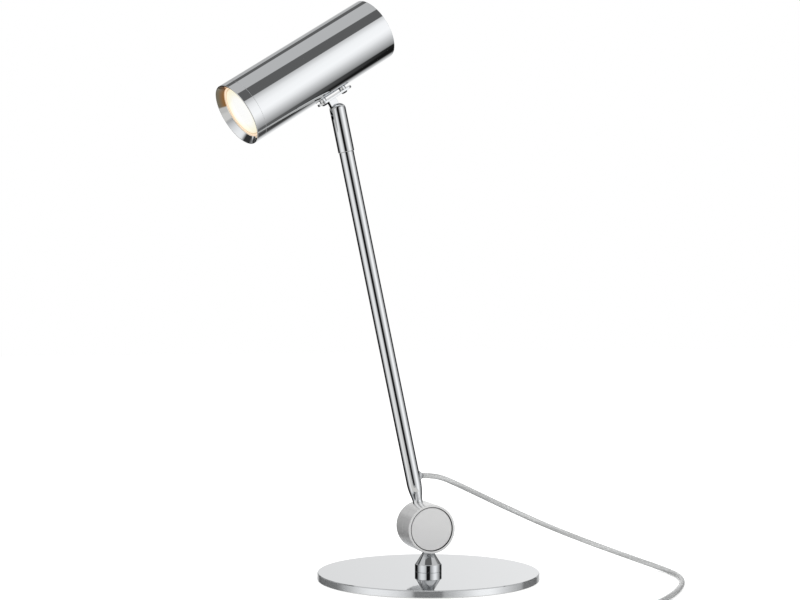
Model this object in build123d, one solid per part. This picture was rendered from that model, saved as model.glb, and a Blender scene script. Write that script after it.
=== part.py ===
from build123d import *
import math
import os

# A desk lamp: a round plate and a turned post carry a two-part pivot drum, a leaning rod stands on
# the rear half of the drum, and a knuckle on the rod's top carries a tubular spotlight head.
# Millimetres, +Z up. The origin is the middle of the plate's underside, on the table.
# The drum's axis runs along Y with the open disc towards -Y, and the head looks towards -X.

# Clearances: fixed seats, turning fits, flat faces that slide, and the overrun of every cut
seat_gap = 0.05
run_gap = 0.05
face_gap = 0.15
over = 1.0

# Base plate and the pad under it
plate_r = 100.0
plate_t = 6.4
plate_edge_r = 0.6
pad_t = 0.9
pad_recess = 0.4
pad_margin = 5.0

# Screw that holds the post to the plate
base_screw_r = 3.0
base_screw_reach = 11.0
base_screw_head_r = 6.5
base_screw_head_t = 3.4
base_screw_hex = 5.0
base_screw_hex_depth = 2.0

# Turned post
post_r = 12.2
post_h = 7.2
post_cone_h = 9.8
post_neck_r = 5.2
post_neck_reach = 7.0

# Pivot drum: two equal halves face to face
drum_r = 21.9
drum_half_l = 17.8
drum_split_gap = 0.3
drum_split_back = 7.85
drum_rim_w = 2.1
drum_edge_r = 0.4
disc_recess = 2.0
disc_t = 1.2

# Pivot bolt and what it clamps
pivot_r = 4.0
pivot_head_r = 7.0
pivot_head_t = 4.0
pivot_head_hex = 6.0
pivot_head_hex_depth = 2.4
pivot_end = 0.3
friction_r = 15.0
friction_t = 1.5
rear_web = 5.0
thrust_r = 8.0
thrust_t = 1.6
spring_t = 1.2
spring_r = 7.6
nut_flats = 13.0
nut_t = 6.5
nut_room = 0.6

# Rod with its swaged neck
lean = 12.04
arm_inset = 7.85
rod_r = 6.75
rod_wall = 1.0
rod_l = 307.5
rod_taper_l = 15.9
rod_neck_r = 4.5
rod_neck_show = 1.9
rod_neck_reach = 9.4
taper_height_shares = (0.277, 0.566)
taper_width_shares = (0.31, 0.78)
arm_pin_r = 1.5
arm_pin_reach_share = 0.6
arm_pin_l = 13.0

# Cord grommet in the rod, and the lead inside the rod
gland_up = 6.8
gland_r = 4.3
gland_proud = 2.8
gland_dome_r = 1.6
gland_stem_r = 3.4
gland_stem_in = 3.7
lead_r = 1.5
lead_bend_r = 4.0
head_lead_bend_r = 8.0

# Swivel at the rod's top
swivel = 10.5
spigot_r = 4.4
spigot_l = 20.0
bush_l = 16.0
clip_r = 5.4
clip_t = 1.0
clip_groove = 0.8

# Knuckle
knuckle_r = 7.4
knuckle_l = 42.6
knuckle_chamfer = 0.7
knuckle_dome_r = 5.0
knuckle_bore_r = 1.8
slot_w = 5.0
slot_depth = 13.6
slot_back = 5.3
hinge_drop = 8.0
hinge_pin_r = 2.0
hinge_pin_inset = 0.25

# Head: place of the tube about the hinge pin
head_tilt = 20.4
head_r = 28.8
head_l = 159.6
head_wall = 1.2
pin_to_axis = 46.1
pin_to_front = 87.4

# Bracket under the head
bracket_gap = 2.0
bracket_t = 2.0
bracket_w = 12.0
bracket_front = 14.1
bracket_back = 23.5
tongue_r = 4.0
bracket_screw_front = 7.6
bracket_screw_back = 15.4
bracket_screw_r = 1.5
bracket_screw_head_r = 2.8
bracket_screw_head_t = 1.8
bracket_nut_flats = 5.5
bracket_nut_t = 2.4
spacer_r = 3.2
wire_hole_r = 1.8
wire_hole_back = 6.5

# Bezel ring
bezel_l = 7.5
bezel_rim = 0.8
bezel_edge = 0.3
bezel_depth = 5.5
bezel_lip_r = 24.0
bezel_lip_t = 0.8
bezel_spigot_l = 6.0

# Reflector bulb with a two-pin twist base
bulb_r = 25.0
bulb_rim_l = 3.2
bulb_waist_r = 21.5
bulb_waist_l = 14.5
bulb_heel_r = 15.0
bulb_heel_l = 16.0
bulb_base_r = 11.0
bulb_step_l = 4.0
bulb_base_l = 9.0
lens_r = 24.4
lens_t = 1.5
bulb_pin_gap = 10.0
bulb_pin_r = 1.3
bulb_pin_l = 6.5
bulb_pin_head_r = 2.4
bulb_pin_head_l = 2.5

# Lamp holder and the plate that carries it
holder_r = 12.5
holder_l = 20.0
holder_hole_room = 0.3
holder_plate_t = 1.2
holder_plate_gap = 0.1
holder_screw_r = 1.45
holder_screw_place = 8.0
holder_screw_reach = 8.0
holder_screw_head_r = 2.6
holder_screw_head_t = 1.6
air_hole_r = 4.0
air_hole_place = 19.0
air_holes = 6

# Rear cap
cap_t = 2.0
cap_lip_l = 8.0
cap_lip_wall = 1.5

# Mains cord
cord_r = 2.4
cord_arc_share = 0.45

# Route of the cord from the grommet to the switch: points chosen by hand
CORD_ROUTE = [
    (0.05, 16.0, 91.28),
    (13.0, 16.0, 91.28),
    (34.0, 16.0, 82.3),
    (74.0, 16.0, 62.7),
    (120.0, 16.0, 41.4),
    (160.0, 15.0, 25.0),
    (190.0, 8.0, 13.6),
    (210.0, -10.0, 6.0),
    (219.0, -38.0, 2.6),
    (215.0, -72.0, 2.5),
    (200.0, -106.0, 2.6),
    (178.0, -138.0, 2.5),
    (153.0, -167.0, 2.6),
    (125.0, -194.0, 2.8),
    (93.0, -217.0, 4.3),
    (59.0, -232.5, 7.5),
    (24.0, -236.5, 7.5),
]
CORD_TOUCHDOWN = 9
tail_run = 22.0

# Coil of the spare length, wound in on the table and out again on top of itself
coil_x = -94.0
coil_y = -192.0
coil_start_angle = -108.0
coil_turns = 6
coil_in_r = 20.0
coil_pitch = 5.6
coil_layer = 5.5
coil_z = 3.35
coil_ease_share = 0.15
coil_climb_share = 0.5
coil_step_share = 0.0001
coil_quarters = 4
gap_steps = 96

# Strap around the coil
tie_w = 6.0
tie_t = 0.7
tie_lift = 0.1
tie_slack = 0.5
tie_angle = -18.0

# Inline switch
switch_l = 62.0
switch_w = 26.0
switch_h = 15.0
switch_corner_r = 6.0
switch_edge_r = 1.5
switch_pocket = 4.0
rocker_l = 20.0
rocker_w = 10.0
rocker_gap = 0.7
rocker_tilt = 7.0
rocker_pivot_h = 11.5
rocker_foot_l = 15.0
rocker_foot = 2.4
rocker_waist = 1.2
rocker_end = 4.4
rocker_mid = 3.2
rocker_pin_r = 1.0
rocker_pin_reach = 3.0
contact_l = 14.0
contact_w = 3.0
contact_t = 1.0
contact_apart = 7.0

# Two-pin flat plug
plug_h = 14.0
plug_w = 26.0
plug_l = 34.0
plug_nose_w = 9.0
plug_nose_l = 8.0
plug_shoulder_l = 20.0
plug_edge_r = 2.0
plug_collar_l = 14.0
plug_collar_r = 4.2
plug_collar_end_r = 3.0
plug_pin_r = 2.0
plug_pin_l = 19.0
plug_pin_seat = 6.0
plug_pin_gap = 18.6
plug_pin_round = 1.2
plug_run = 11.0
plug_turn = 14.0

# Heights and places that follow from the sizes
plate_z = pad_t - pad_recess
plate_top = plate_z + plate_t
post_top = plate_top + post_h + post_cone_h
drum_z = post_top + drum_r
front_y = drum_split_back - drum_half_l
rear_y = drum_split_back + drum_split_gap
rear_end_y = rear_y + drum_half_l
disc_r = drum_r - drum_rim_w
friction_seat = (friction_t - drum_split_gap) / 2
arm_y = rear_y + arm_inset
neck_foot = drum_r - rod_neck_reach
taper_foot = drum_r + rod_neck_show
rod_foot = taper_foot + rod_taper_l
rod_top = rod_foot + rod_l
rod_bore_r = rod_r - rod_wall
gland_s = rod_foot + gland_up
knuckle_foot = rod_top + face_gap
knuckle_top = knuckle_foot + knuckle_l
hinge_s = knuckle_top - hinge_drop
head_bore_r = head_r - head_wall
bracket_top = pin_to_axis - head_r - bracket_gap
bracket_foot = bracket_top - bracket_t
bulb_face = bezel_depth + bezel_lip_t
bulb_end = bulb_face + bulb_rim_l + bulb_waist_l + bulb_heel_l + bulb_step_l + bulb_base_l
holder_face = bulb_end + seat_gap
holder_end = holder_face + holder_l
holder_plate_end = holder_end + holder_plate_t
cord_d = 2 * cord_r

# Frames: the drum's axis, the leaning rod, the knuckle about it, the head about the hinge pin
lean_sin = math.sin(math.radians(lean))
lean_cos = math.cos(math.radians(lean))
drum_at = Location(Plane(origin=(0, 0, drum_z), x_dir=(1, 0, 0), z_dir=(0, 1, 0)))
arm_at = Location(
    Plane(origin=(0, arm_y, drum_z), x_dir=(lean_cos, 0, lean_sin), z_dir=(-lean_sin, 0, lean_cos))
)
knuckle_at = arm_at * Rot(0, 0, swivel)
head_at = knuckle_at * Pos(0, 0, hinge_s) * Rot(0, -head_tilt, 0)
front_at = head_at * Location(
    Plane(origin=(-pin_to_front, 0, pin_to_axis), x_dir=(0, 1, 0), z_dir=(1, 0, 0))
)
gland_middle = (arm_at * Pos(0, 0, gland_s)).position
gland_at = Location(Plane(origin=gland_middle, x_dir=(0, 1, 0), z_dir=(1, 0, 0)))

low_end = (Align.CENTER, Align.CENTER, Align.MIN)


def rod(radius, low, high):
    """A round bar about the local Z axis, from one height to another."""
    return Pos(0, 0, low) * Cylinder(radius, high - low, align=low_end)


def hexagon(flats, low, high):
    """A hexagonal bar about the local Z axis."""
    sketch = RegularPolygon(flats / 2, 6, major_radius=False)
    return Pos(0, 0, low) * extrude(sketch, high - low)


def block(x0, x1, y0, y1, z0, z1):
    """A box between two corners."""
    box = Box(x1 - x0, y1 - y0, z1 - z0, align=(Align.MIN, Align.MIN, Align.MIN))
    return Pos(x0, y0, z0) * box


def turned(points):
    """A turned piece from its half outline of radius and height."""
    return revolve(Plane.XZ * make_face(Polyline(*points, close=True)), Axis.Z)


def edge_at(shape, height):
    """The round edges that lie flat at one height, the widest last."""
    flat = shape.edges().filter_by(GeomType.CIRCLE).filter_by_position(Axis.Z, height, height)
    return flat.sort_by(SortBy.RADIUS)


pieces = {}

# Base plate with a shallow recess for its pad and a counterbored hole for the screw
pad_r = plate_r - pad_margin
plate = rod(plate_r, plate_z, plate_top)
plate = fillet([edge_at(plate, plate_top)[-1], edge_at(plate, plate_z)[-1]], plate_edge_r)
plate -= rod(pad_r + seat_gap, plate_z - over, pad_t)
screw_head_top = pad_t + base_screw_head_t + seat_gap
plate -= rod(base_screw_head_r + seat_gap, pad_t - over, screw_head_top)
plate -= rod(base_screw_r + seat_gap, plate_z, plate_top + over)
pieces["base_plate"] = plate
pieces["base_pad"] = rod(pad_r, 0, pad_t)

base_screw = rod(base_screw_head_r, pad_t + seat_gap, screw_head_top)
base_screw += rod(base_screw_r, screw_head_top, plate_top + base_screw_reach)
base_screw -= hexagon(base_screw_hex, pad_t - over, pad_t + base_screw_hex_depth)
pieces["base_screw"] = base_screw

# Post: a cylinder, a cone and a neck that goes up into the drum
post = turned(
    [
        (0, plate_top),
        (post_r, plate_top),
        (post_r, plate_top + post_h),
        (post_neck_r, post_top),
        (post_neck_r, post_top + post_neck_reach),
        (0, post_top + post_neck_reach),
    ]
)
post -= rod(base_screw_r + seat_gap, plate_top - over, plate_top + base_screw_reach + seat_gap)
pieces["post"] = post

# Front half of the drum, which stands on the post
front_floor = front_y + disc_recess
head_seat = front_floor + face_gap + pivot_head_t
drum_front = rod(drum_r, front_y, drum_split_back)
drum_front = fillet(edge_at(drum_front, front_y), drum_edge_r)
drum_front -= rod(disc_r, front_y - over, front_floor)
drum_front -= rod(pivot_head_r + seat_gap, front_floor - over, head_seat)
drum_front -= rod(pivot_r + seat_gap, front_floor, drum_split_back + over)
drum_front -= rod(friction_r + seat_gap, drum_split_back - friction_seat, drum_split_back + over)
drum_front = drum_at * drum_front
drum_front -= rod(post_neck_r + seat_gap, post_top - over, post_top + post_neck_reach + seat_gap)
pieces["drum_front"] = drum_front

# Bare cover discs, one in each half
disc = rod(disc_r - seat_gap, 0, disc_t)
pieces["front_disc"] = drum_at * Pos(0, 0, front_floor - disc_t) * disc
rear_floor = rear_end_y - disc_recess
pieces["rear_disc"] = drum_at * Pos(0, 0, rear_floor) * disc

# Friction disc between the halves
friction_low = drum_split_back - friction_seat
friction = rod(friction_r, friction_low, friction_low + friction_t)
friction -= rod(pivot_r + seat_gap, front_y, rear_end_y)
pieces["friction_disc"] = drum_at * friction

# Rear half of the drum, which carries the rod
web_low = friction_low + friction_t + run_gap
web_high = web_low + rear_web
drum_rear = rod(drum_r, rear_y, rear_end_y)
drum_rear = fillet(edge_at(drum_rear, rear_end_y), drum_edge_r)
drum_rear -= rod(disc_r, rear_floor, rear_end_y + over)
drum_rear -= rod(friction_r + run_gap, rear_y - over, web_low)
drum_rear -= rod(pivot_r + run_gap, rear_y, rear_floor)
drum_rear -= rod(thrust_r + nut_room, web_high, rear_floor + over)
drum_rear = drum_at * drum_rear
drum_rear -= arm_at * rod(rod_neck_r + seat_gap, neck_foot - seat_gap, drum_r + over)

# Cross pin that holds the rod's neck, hidden behind the rear disc
arm_pin_s = neck_foot + rod_neck_reach * arm_pin_reach_share
arm_pin_at = Pos(0, 0, arm_pin_s) * Location(
    Plane(origin=(0, rear_floor - arm_y, 0), x_dir=(1, 0, 0), z_dir=(0, -1, 0))
)
drum_rear -= arm_at * arm_pin_at * rod(arm_pin_r + seat_gap, -over, arm_pin_l)
pieces["drum_rear"] = drum_rear
pieces["arm_pin"] = arm_at * arm_pin_at * rod(arm_pin_r, seat_gap, arm_pin_l - seat_gap)

# Pivot bolt, thrust washer, spring washer and nut
thrust_low = web_high + run_gap
spring_low = thrust_low + thrust_t
nut_low = spring_low + spring_t
nut_high = nut_low + nut_t
bolt = rod(pivot_head_r, head_seat - pivot_head_t, head_seat)
bolt += rod(pivot_r, head_seat, nut_high + pivot_end)
bolt -= hexagon(pivot_head_hex, front_y, head_seat - pivot_head_t + pivot_head_hex_depth)
pieces["pivot_bolt"] = drum_at * bolt
bolt_hole = rod(pivot_r + seat_gap, front_y, rear_end_y)
pieces["thrust_washer"] = drum_at * (rod(thrust_r, thrust_low, spring_low) - bolt_hole)
pieces["spring_washer"] = drum_at * (rod(spring_r, spring_low, nut_low) - bolt_hole)
pieces["pivot_nut"] = drum_at * (hexagon(nut_flats, nut_low, nut_high) - bolt_hole)

# Rod: a tube with a swaged neck, closed below, open above
taper_points = [(rod_neck_r, taper_foot)]
for up_share, out_share in zip(taper_height_shares, taper_width_shares):
    radius = rod_neck_r + (rod_r - rod_neck_r) * out_share
    taper_points.append((radius, taper_foot + rod_taper_l * up_share))
taper_points.append((rod_r, rod_foot))
taper_line = Spline(*taper_points, tangents=[(0, 1), (0, 1)])
rod_outline = [
    Line((rod_neck_r, neck_foot), (rod_neck_r, taper_foot)),
    taper_line,
    Line((rod_r, rod_foot), (rod_r, rod_top)),
    Line((rod_r, rod_top), (0, rod_top)),
    Line((0, rod_top), (0, neck_foot)),
    Line((0, neck_foot), (rod_neck_r, neck_foot)),
]
rod_body = revolve(Plane.XZ * make_face(rod_outline), Axis.Z)
rod_body -= rod(rod_bore_r, rod_foot, rod_top + over)
rod_body -= arm_pin_at * rod(arm_pin_r + seat_gap, -over, arm_pin_l)
rod_body = arm_at * rod_body
rod_body -= gland_at * rod(gland_stem_r + seat_gap, 0, gland_r + rod_r)
pieces["arm_rod"] = rod_body

# Domed grommet, level with the table, where the cord goes into the rod
gland_out = rod_r / lean_cos + gland_proud
gland = rod(gland_r, rod_bore_r, gland_out)
gland = fillet(edge_at(gland, gland_out), gland_dome_r)
gland = gland_at * gland
gland -= arm_at * rod(rod_r + seat_gap, rod_foot, rod_top)
gland += gland_at * rod(gland_stem_r, gland_stem_in, gland_out - gland_dome_r)
pieces["cord_gland"] = gland

# Lead inside the rod, from the grommet up to the swivel
lead_top = knuckle_foot - spigot_l - face_gap
lead_line = FilletPolyline(
    gland_middle + Vector(gland_stem_in - seat_gap, 0, 0),
    gland_middle,
    (arm_at * Pos(0, 0, lead_top)).position,
    radius=lead_bend_r,
)
lead_start = Plane(origin=lead_line @ 0, z_dir=lead_line % 0)
pieces["arm_lead"] = sweep(lead_start * Circle(lead_r), path=lead_line)

# Swivel bush in the rod's top
bush = rod(rod_bore_r - seat_gap, rod_top - bush_l, rod_top)
bush -= rod(spigot_r + run_gap, rod_top - bush_l - over, rod_top + over)
pieces["swivel_bush"] = arm_at * bush

# Knuckle: a domed bar with a spigot below and a slot in its front for the head's tongue
groove_high = rod_top - bush_l - face_gap
groove_low = groove_high - clip_t
knuckle = rod(knuckle_r, knuckle_foot, knuckle_top)
knuckle = fillet(edge_at(knuckle, knuckle_top), knuckle_dome_r)
knuckle = chamfer(edge_at(knuckle, knuckle_foot), knuckle_chamfer)
knuckle += rod(spigot_r, knuckle_foot - spigot_l, knuckle_foot)
groove = rod(spigot_r + over, groove_low, groove_high)
groove -= rod(spigot_r - clip_groove, groove_low, groove_high)
knuckle -= groove
slot_foot = knuckle_top - slot_depth
knuckle -= rod(knuckle_bore_r, knuckle_foot - spigot_l - over, slot_foot + over)
knuckle -= block(-knuckle_r - over, slot_back, -slot_w / 2, slot_w / 2, slot_foot, knuckle_top + over)
hinge_line = Pos(0, 0, hinge_s) * Rot(90, 0, 0)
knuckle -= hinge_line * rod(hinge_pin_r + seat_gap, -knuckle_r - over, knuckle_r + over)
pieces["knuckle"] = knuckle_at * knuckle
pin_half = knuckle_r - hinge_pin_inset
pieces["hinge_pin"] = knuckle_at * hinge_line * rod(hinge_pin_r, -pin_half, pin_half)
clip = rod(clip_r, groove_low + seat_gap, groove_high - seat_gap)
clip -= rod(spigot_r - clip_groove + seat_gap, groove_low - over, groove_high + over)
pieces["swivel_clip"] = knuckle_at * clip

# Bracket: an oblong plate along the head with a tongue that hangs in the knuckle's slot
tongue_half = slot_w / 2 - face_gap
plate_half = bracket_w / 2
bracket = block(
    plate_half - bracket_front, bracket_back - plate_half, -plate_half, plate_half, bracket_foot, bracket_top
)
for end_x in (plate_half - bracket_front, bracket_back - plate_half):
    bracket += Pos(end_x, 0, 0) * rod(plate_half, bracket_foot, bracket_top)
bracket += block(-tongue_r, tongue_r, -tongue_half, tongue_half, 0, bracket_foot)
bracket += Rot(90, 0, 0) * rod(tongue_r, -tongue_half, tongue_half)
bracket -= Rot(90, 0, 0) * rod(hinge_pin_r + run_gap, -tongue_half - over, tongue_half + over)
screw_places = (-bracket_screw_front, bracket_screw_back)
for screw_x in screw_places:
    bracket -= Pos(screw_x, 0, 0) * rod(bracket_screw_r + seat_gap, bracket_foot - over, bracket_top + over)
bracket -= Pos(wire_hole_back, 0, 0) * rod(wire_hole_r, bracket_foot - over, bracket_top + over)
pieces["head_bracket"] = head_at * bracket

# Spacers, screws and nuts that hold the bracket under the head
nut_corner = bracket_nut_flats / math.sqrt(3)
nut_seat = pin_to_axis - math.sqrt(head_bore_r**2 - nut_corner**2) + seat_gap
tube_line = Pos(0, 0, pin_to_axis) * Rot(0, 90, 0)
spacers = []
screws = []
nuts = []
for screw_x in screw_places:
    hole = rod(bracket_screw_r + seat_gap, bracket_foot - over, nut_seat + bracket_nut_t + over)
    spacer = rod(spacer_r, bracket_top, bracket_top + bracket_gap + over)
    spacer = Pos(screw_x, 0, 0) * (spacer - hole)
    spacers.append(head_at * (spacer - tube_line * rod(head_r, -head_l, head_l)))
    screw = rod(bracket_screw_head_r, bracket_foot - bracket_screw_head_t, bracket_foot)
    screw += rod(bracket_screw_r, bracket_foot, nut_seat + bracket_nut_t)
    screws.append(head_at * Pos(screw_x, 0, 0) * screw)
    nut = hexagon(bracket_nut_flats, nut_seat, nut_seat + bracket_nut_t) - hole
    nuts.append(head_at * Pos(screw_x, 0, 0) * nut)
pieces["bracket_spacers"] = Compound(children=spacers)
pieces["bracket_screws"] = Compound(children=screws)
pieces["bracket_nuts"] = Compound(children=nuts)

# Head tube
head_tube = rod(head_r, bezel_l, head_l) - rod(head_bore_r, bezel_l - over, head_l + over)
head_tube = front_at * head_tube
for screw_x in screw_places:
    hole = rod(bracket_screw_r + seat_gap, bracket_top, pin_to_axis)
    head_tube -= head_at * Pos(screw_x, 0, 0) * hole
head_tube -= head_at * Pos(wire_hole_back, 0, 0) * rod(wire_hole_r, bracket_top, pin_to_axis)
pieces["head_tube"] = head_tube

# Bezel ring with a polished cone inside, plugged into the tube's front
spigot_out_r = head_bore_r - seat_gap
bezel_end = bezel_l + bezel_spigot_l
bezel = turned(
    [
        (head_r - bezel_rim, 0),
        (head_r - bezel_edge, 0),
        (head_r, bezel_edge),
        (head_r, bezel_l),
        (spigot_out_r, bezel_l),
        (spigot_out_r, bezel_end),
        (bulb_r + seat_gap, bezel_end),
        (bulb_r + seat_gap, bulb_face),
        (bezel_lip_r, bulb_face),
        (bezel_lip_r, bezel_depth),
    ]
)
pieces["bezel_ring"] = front_at * bezel

# Bulb: reflector body, lens and twist-lock pins
rim_end = bulb_face + bulb_rim_l
waist_end = rim_end + bulb_waist_l
heel_end = waist_end + bulb_heel_l
bulb = turned(
    [
        (0, bulb_face + lens_t),
        (lens_r + seat_gap, bulb_face + lens_t),
        (lens_r + seat_gap, bulb_face),
        (bulb_r, bulb_face),
        (bulb_r, rim_end),
        (bulb_waist_r, waist_end),
        (bulb_heel_r, heel_end),
        (bulb_base_r, heel_end + bulb_step_l),
        (bulb_base_r, bulb_end),
        (0, bulb_end),
    ]
)
pieces["bulb_body"] = front_at * bulb
pieces["bulb_lens"] = front_at * rod(lens_r, bulb_face, bulb_face + lens_t)
bulb_pins = []
for side in (-1, 1):
    pin = rod(bulb_pin_r, bulb_end, bulb_end + bulb_pin_l)
    pin += rod(bulb_pin_head_r, bulb_end + bulb_pin_l - bulb_pin_head_l, bulb_end + bulb_pin_l)
    bulb_pins.append(front_at * Pos(side * bulb_pin_gap / 2, 0, 0) * pin)
pieces["bulb_pins"] = Compound(children=bulb_pins)

# Ceramic holder, its carrier plate with air holes, and two screws
holder = rod(holder_r, holder_face, holder_end)
carrier = rod(head_bore_r - holder_plate_gap, holder_end, holder_plate_end)
carrier -= rod(lead_r + holder_hole_room, holder_end - over, holder_plate_end + over)
for side in (-1, 1):
    pin_room = rod(bulb_pin_head_r + holder_hole_room, holder_face - over, bulb_end + bulb_pin_l + face_gap)
    holder -= Pos(side * bulb_pin_gap / 2, 0, 0) * pin_room
    screw_room = rod(holder_screw_r + seat_gap, holder_end - holder_screw_reach, holder_plate_end + over)
    holder -= Pos(0, side * holder_screw_place, 0) * screw_room
    carrier -= Pos(0, side * holder_screw_place, 0) * screw_room
for turn in range(air_holes):
    air_hole = rod(air_hole_r, holder_end - over, holder_plate_end + over)
    carrier -= Rot(0, 0, 360 / air_holes * turn) * Pos(air_hole_place, 0, 0) * air_hole
pieces["lamp_holder"] = front_at * holder
pieces["holder_plate"] = front_at * carrier
holder_screws = []
for side in (-1, 1):
    screw = rod(holder_screw_r, holder_end - holder_screw_reach + face_gap, holder_plate_end)
    screw += rod(holder_screw_head_r, holder_plate_end, holder_plate_end + holder_screw_head_t)
    holder_screws.append(front_at * Pos(0, side * holder_screw_place, 0) * screw)
pieces["holder_screws"] = Compound(children=holder_screws)

# Lead inside the head, from the wire hole to the holder
wire_depth = pin_to_front + wire_hole_back
head_lead_points = [(0, 0, holder_end + seat_gap), (0, 0, wire_depth), (0, -head_bore_r, wire_depth)]
head_lead_line = FilletPolyline(*head_lead_points, radius=head_lead_bend_r)
head_lead_start = Plane(origin=head_lead_line @ 0, z_dir=head_lead_line % 0)
pieces["head_lead"] = front_at * sweep(head_lead_start * Circle(lead_r), path=head_lead_line)

# Rear cap, flush in the tube's back end
cap = rod(head_bore_r - seat_gap, head_l - cap_lip_l, head_l)
cap -= rod(head_bore_r - cap_lip_wall, head_l - cap_lip_l - over, head_l - cap_t)
pieces["rear_cap"] = front_at * cap


def arc_radii(points):
    """The largest radius that each corner of a cord's route leaves room for."""
    radii = []
    for before, here, after in zip(points, points[1:], points[2:]):
        run_in = Vector(here) - Vector(before)
        run_out = Vector(after) - Vector(here)
        half_turn = math.radians(run_in.get_angle(run_out)) / 2
        radii.append(cord_arc_share * min(run_in.length, run_out.length) / math.tan(half_turn))
    return radii


def cord_tube(name, points):
    """A round cord along straight runs joined by tangent arcs."""
    radii = arc_radii(points)
    line = FilletPolyline(*points, radius=radii)
    tube = sweep(Plane(origin=line @ 0, z_dir=line % 0) * Circle(cord_r), path=line)
    share = tube.volume / (math.pi * cord_r**2 * line.length)
    print(name, "length", round(line.length, 1), "volume share", round(share, 4))
    print(name, "radii", [round(radius, 1) for radius in radii])
    return tube, line.length


# Cord from the grommet down to the table, and along the table to the switch
route = [Vector(*point) for point in CORD_ROUTE]
touchdown = (route[CORD_TOUCHDOWN - 1] + route[CORD_TOUCHDOWN]) / 2
cord_hang, hang_length = cord_tube("cord_hang", route[:CORD_TOUCHDOWN] + [touchdown])
cord_floor, floor_length = cord_tube("cord_floor", [touchdown] + route[CORD_TOUCHDOWN:])
pieces["cord_hang"] = cord_hang
pieces["cord_floor"] = cord_floor

# Inline switch: two shells that meet at the cord's height, with a rocker in the upper one
switch_start = route[-1]
cord_height = switch_start.Z
switch_way = (route[-1] - route[-2]).normalized()
switch_foot = Vector(switch_start.X, switch_start.Y, 0)
switch_at = Location(Plane(origin=switch_foot, x_dir=switch_way, z_dir=(0, 0, 1)))
half_w = switch_w / 2
switch_mid = switch_l / 2
shell = block(0, switch_l, -half_w, half_w, 0, switch_h)
shell = fillet(shell.edges().filter_by(Axis.Z), switch_corner_r)
shell = fillet(shell.faces().sort_by(Axis.Z)[-1].edges(), switch_edge_r)
lower = shell & block(-over, switch_l + over, -switch_w, switch_w, 0, cord_height)
upper = shell & block(-over, switch_l + over, -switch_w, switch_w, cord_height, switch_h + over)
room_l = rocker_l / 2 + rocker_gap
room_w = rocker_w / 2 + face_gap
upper -= block(switch_mid - room_l, switch_mid + room_l, -room_w, room_w, cord_height - over, switch_h + over)
lower -= block(
    switch_mid - room_l, switch_mid + room_l, -room_w, room_w, cord_height - switch_pocket, cord_height + over
)
rocker_at = Pos(switch_mid, 0, rocker_pivot_h) * Rot(90, 0, 0)
pin_reach = rocker_w / 2 + rocker_pin_reach
upper -= rocker_at * rod(rocker_pin_r + seat_gap, -pin_reach - seat_gap, pin_reach + seat_gap)
pieces["switch_lower"] = switch_at * lower
pieces["switch_upper"] = switch_at * upper
rocker_outline = Polyline(
    (-rocker_foot_l / 2, -rocker_foot),
    (rocker_foot_l / 2, -rocker_foot),
    (rocker_l / 2, rocker_waist),
    (rocker_l / 2, rocker_end),
    (0, rocker_mid),
    (-rocker_l / 2, rocker_end),
    (-rocker_l / 2, rocker_waist),
    close=True,
)
rocker = Pos(0, 0, -rocker_w / 2) * extrude(make_face(rocker_outline), rocker_w)
rocker = Rot(0, 0, rocker_tilt) * (rocker - rod(rocker_pin_r + run_gap, -rocker_w, rocker_w))
pieces["switch_rocker"] = switch_at * rocker_at * rocker
pieces["rocker_pin"] = switch_at * rocker_at * rod(rocker_pin_r, -pin_reach, pin_reach)
contacts = []
for side in (-1, 1):
    middle = side * contact_apart / 2
    foot = cord_height - switch_pocket
    blade = block(
        switch_mid - contact_l / 2,
        switch_mid + contact_l / 2,
        middle - contact_w / 2,
        middle + contact_w / 2,
        foot,
        foot + contact_t,
    )
    contacts.append(switch_at * blade)
pieces["switch_contacts"] = Compound(children=contacts)


def coil_point(turn):
    """A point of the coil's middle line after some turns: in on the table, then out one layer up."""
    from_middle = turn - coil_turns / 2
    radius = coil_in_r + coil_pitch * (math.hypot(from_middle, coil_ease_share) - coil_ease_share)
    angle = math.radians(coil_start_angle) - 2 * math.pi * turn
    climb = min(max(from_middle / coil_climb_share + 1 / 2, 0), 1)
    height = coil_z + coil_layer * climb * climb * (3 - 2 * climb)
    return Vector(coil_x + radius * math.cos(angle), coil_y + radius * math.sin(angle), height)


def coil_heading(turn):
    """The direction of the coil's middle line after some turns."""
    return (coil_point(turn + coil_step_share) - coil_point(turn - coil_step_share)).normalized()


def biarc(start, start_heading, end, end_heading):
    """Two arcs that join two points with the given headings and share a tangent where they meet."""
    chord = end - start
    both = start_heading + end_heading
    spare = 2 * (1 - start_heading.dot(end_heading))
    along = chord.dot(both)
    reach = (math.sqrt(along**2 + spare * chord.dot(chord)) - along) / spare
    near = start + start_heading * reach
    far = end - end_heading * reach
    middle = (near + far) / 2
    first = Edge.make_tangent_arc(start, start_heading, middle)
    second = Edge.make_tangent_arc(middle, (far - near).normalized(), end)
    return [first, second]


# Coil: one unbroken tube, with a straight run of one cord diameter at each end
coil_first = coil_point(0)
coil_last = coil_point(coil_turns)
coil_in = coil_first - coil_heading(0) * cord_d
coil_out = coil_last + coil_heading(coil_turns) * cord_d
coil_edges = [Edge.make_line(coil_in, coil_first)]
for quarter in range(coil_turns * coil_quarters):
    turn = quarter / coil_quarters
    later = (quarter + 1) / coil_quarters
    coil_edges += biarc(coil_point(turn), coil_heading(turn), coil_point(later), coil_heading(later))
coil_edges.append(Edge.make_line(coil_last, coil_out))
coil_line = Wire(coil_edges)
coil_start = Plane(origin=coil_in, z_dir=coil_heading(0))
coil = sweep(coil_start * Circle(cord_r), path=coil_line)
pieces["cord_coil"] = coil
coil_share = coil.volume / (math.pi * cord_r**2 * coil_line.length)
print("cord_coil length", round(coil_line.length, 1), "volume share", round(coil_share, 4))
samples = [coil_point(step / gap_steps) for step in range(coil_turns * gap_steps + 1)]
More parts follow.
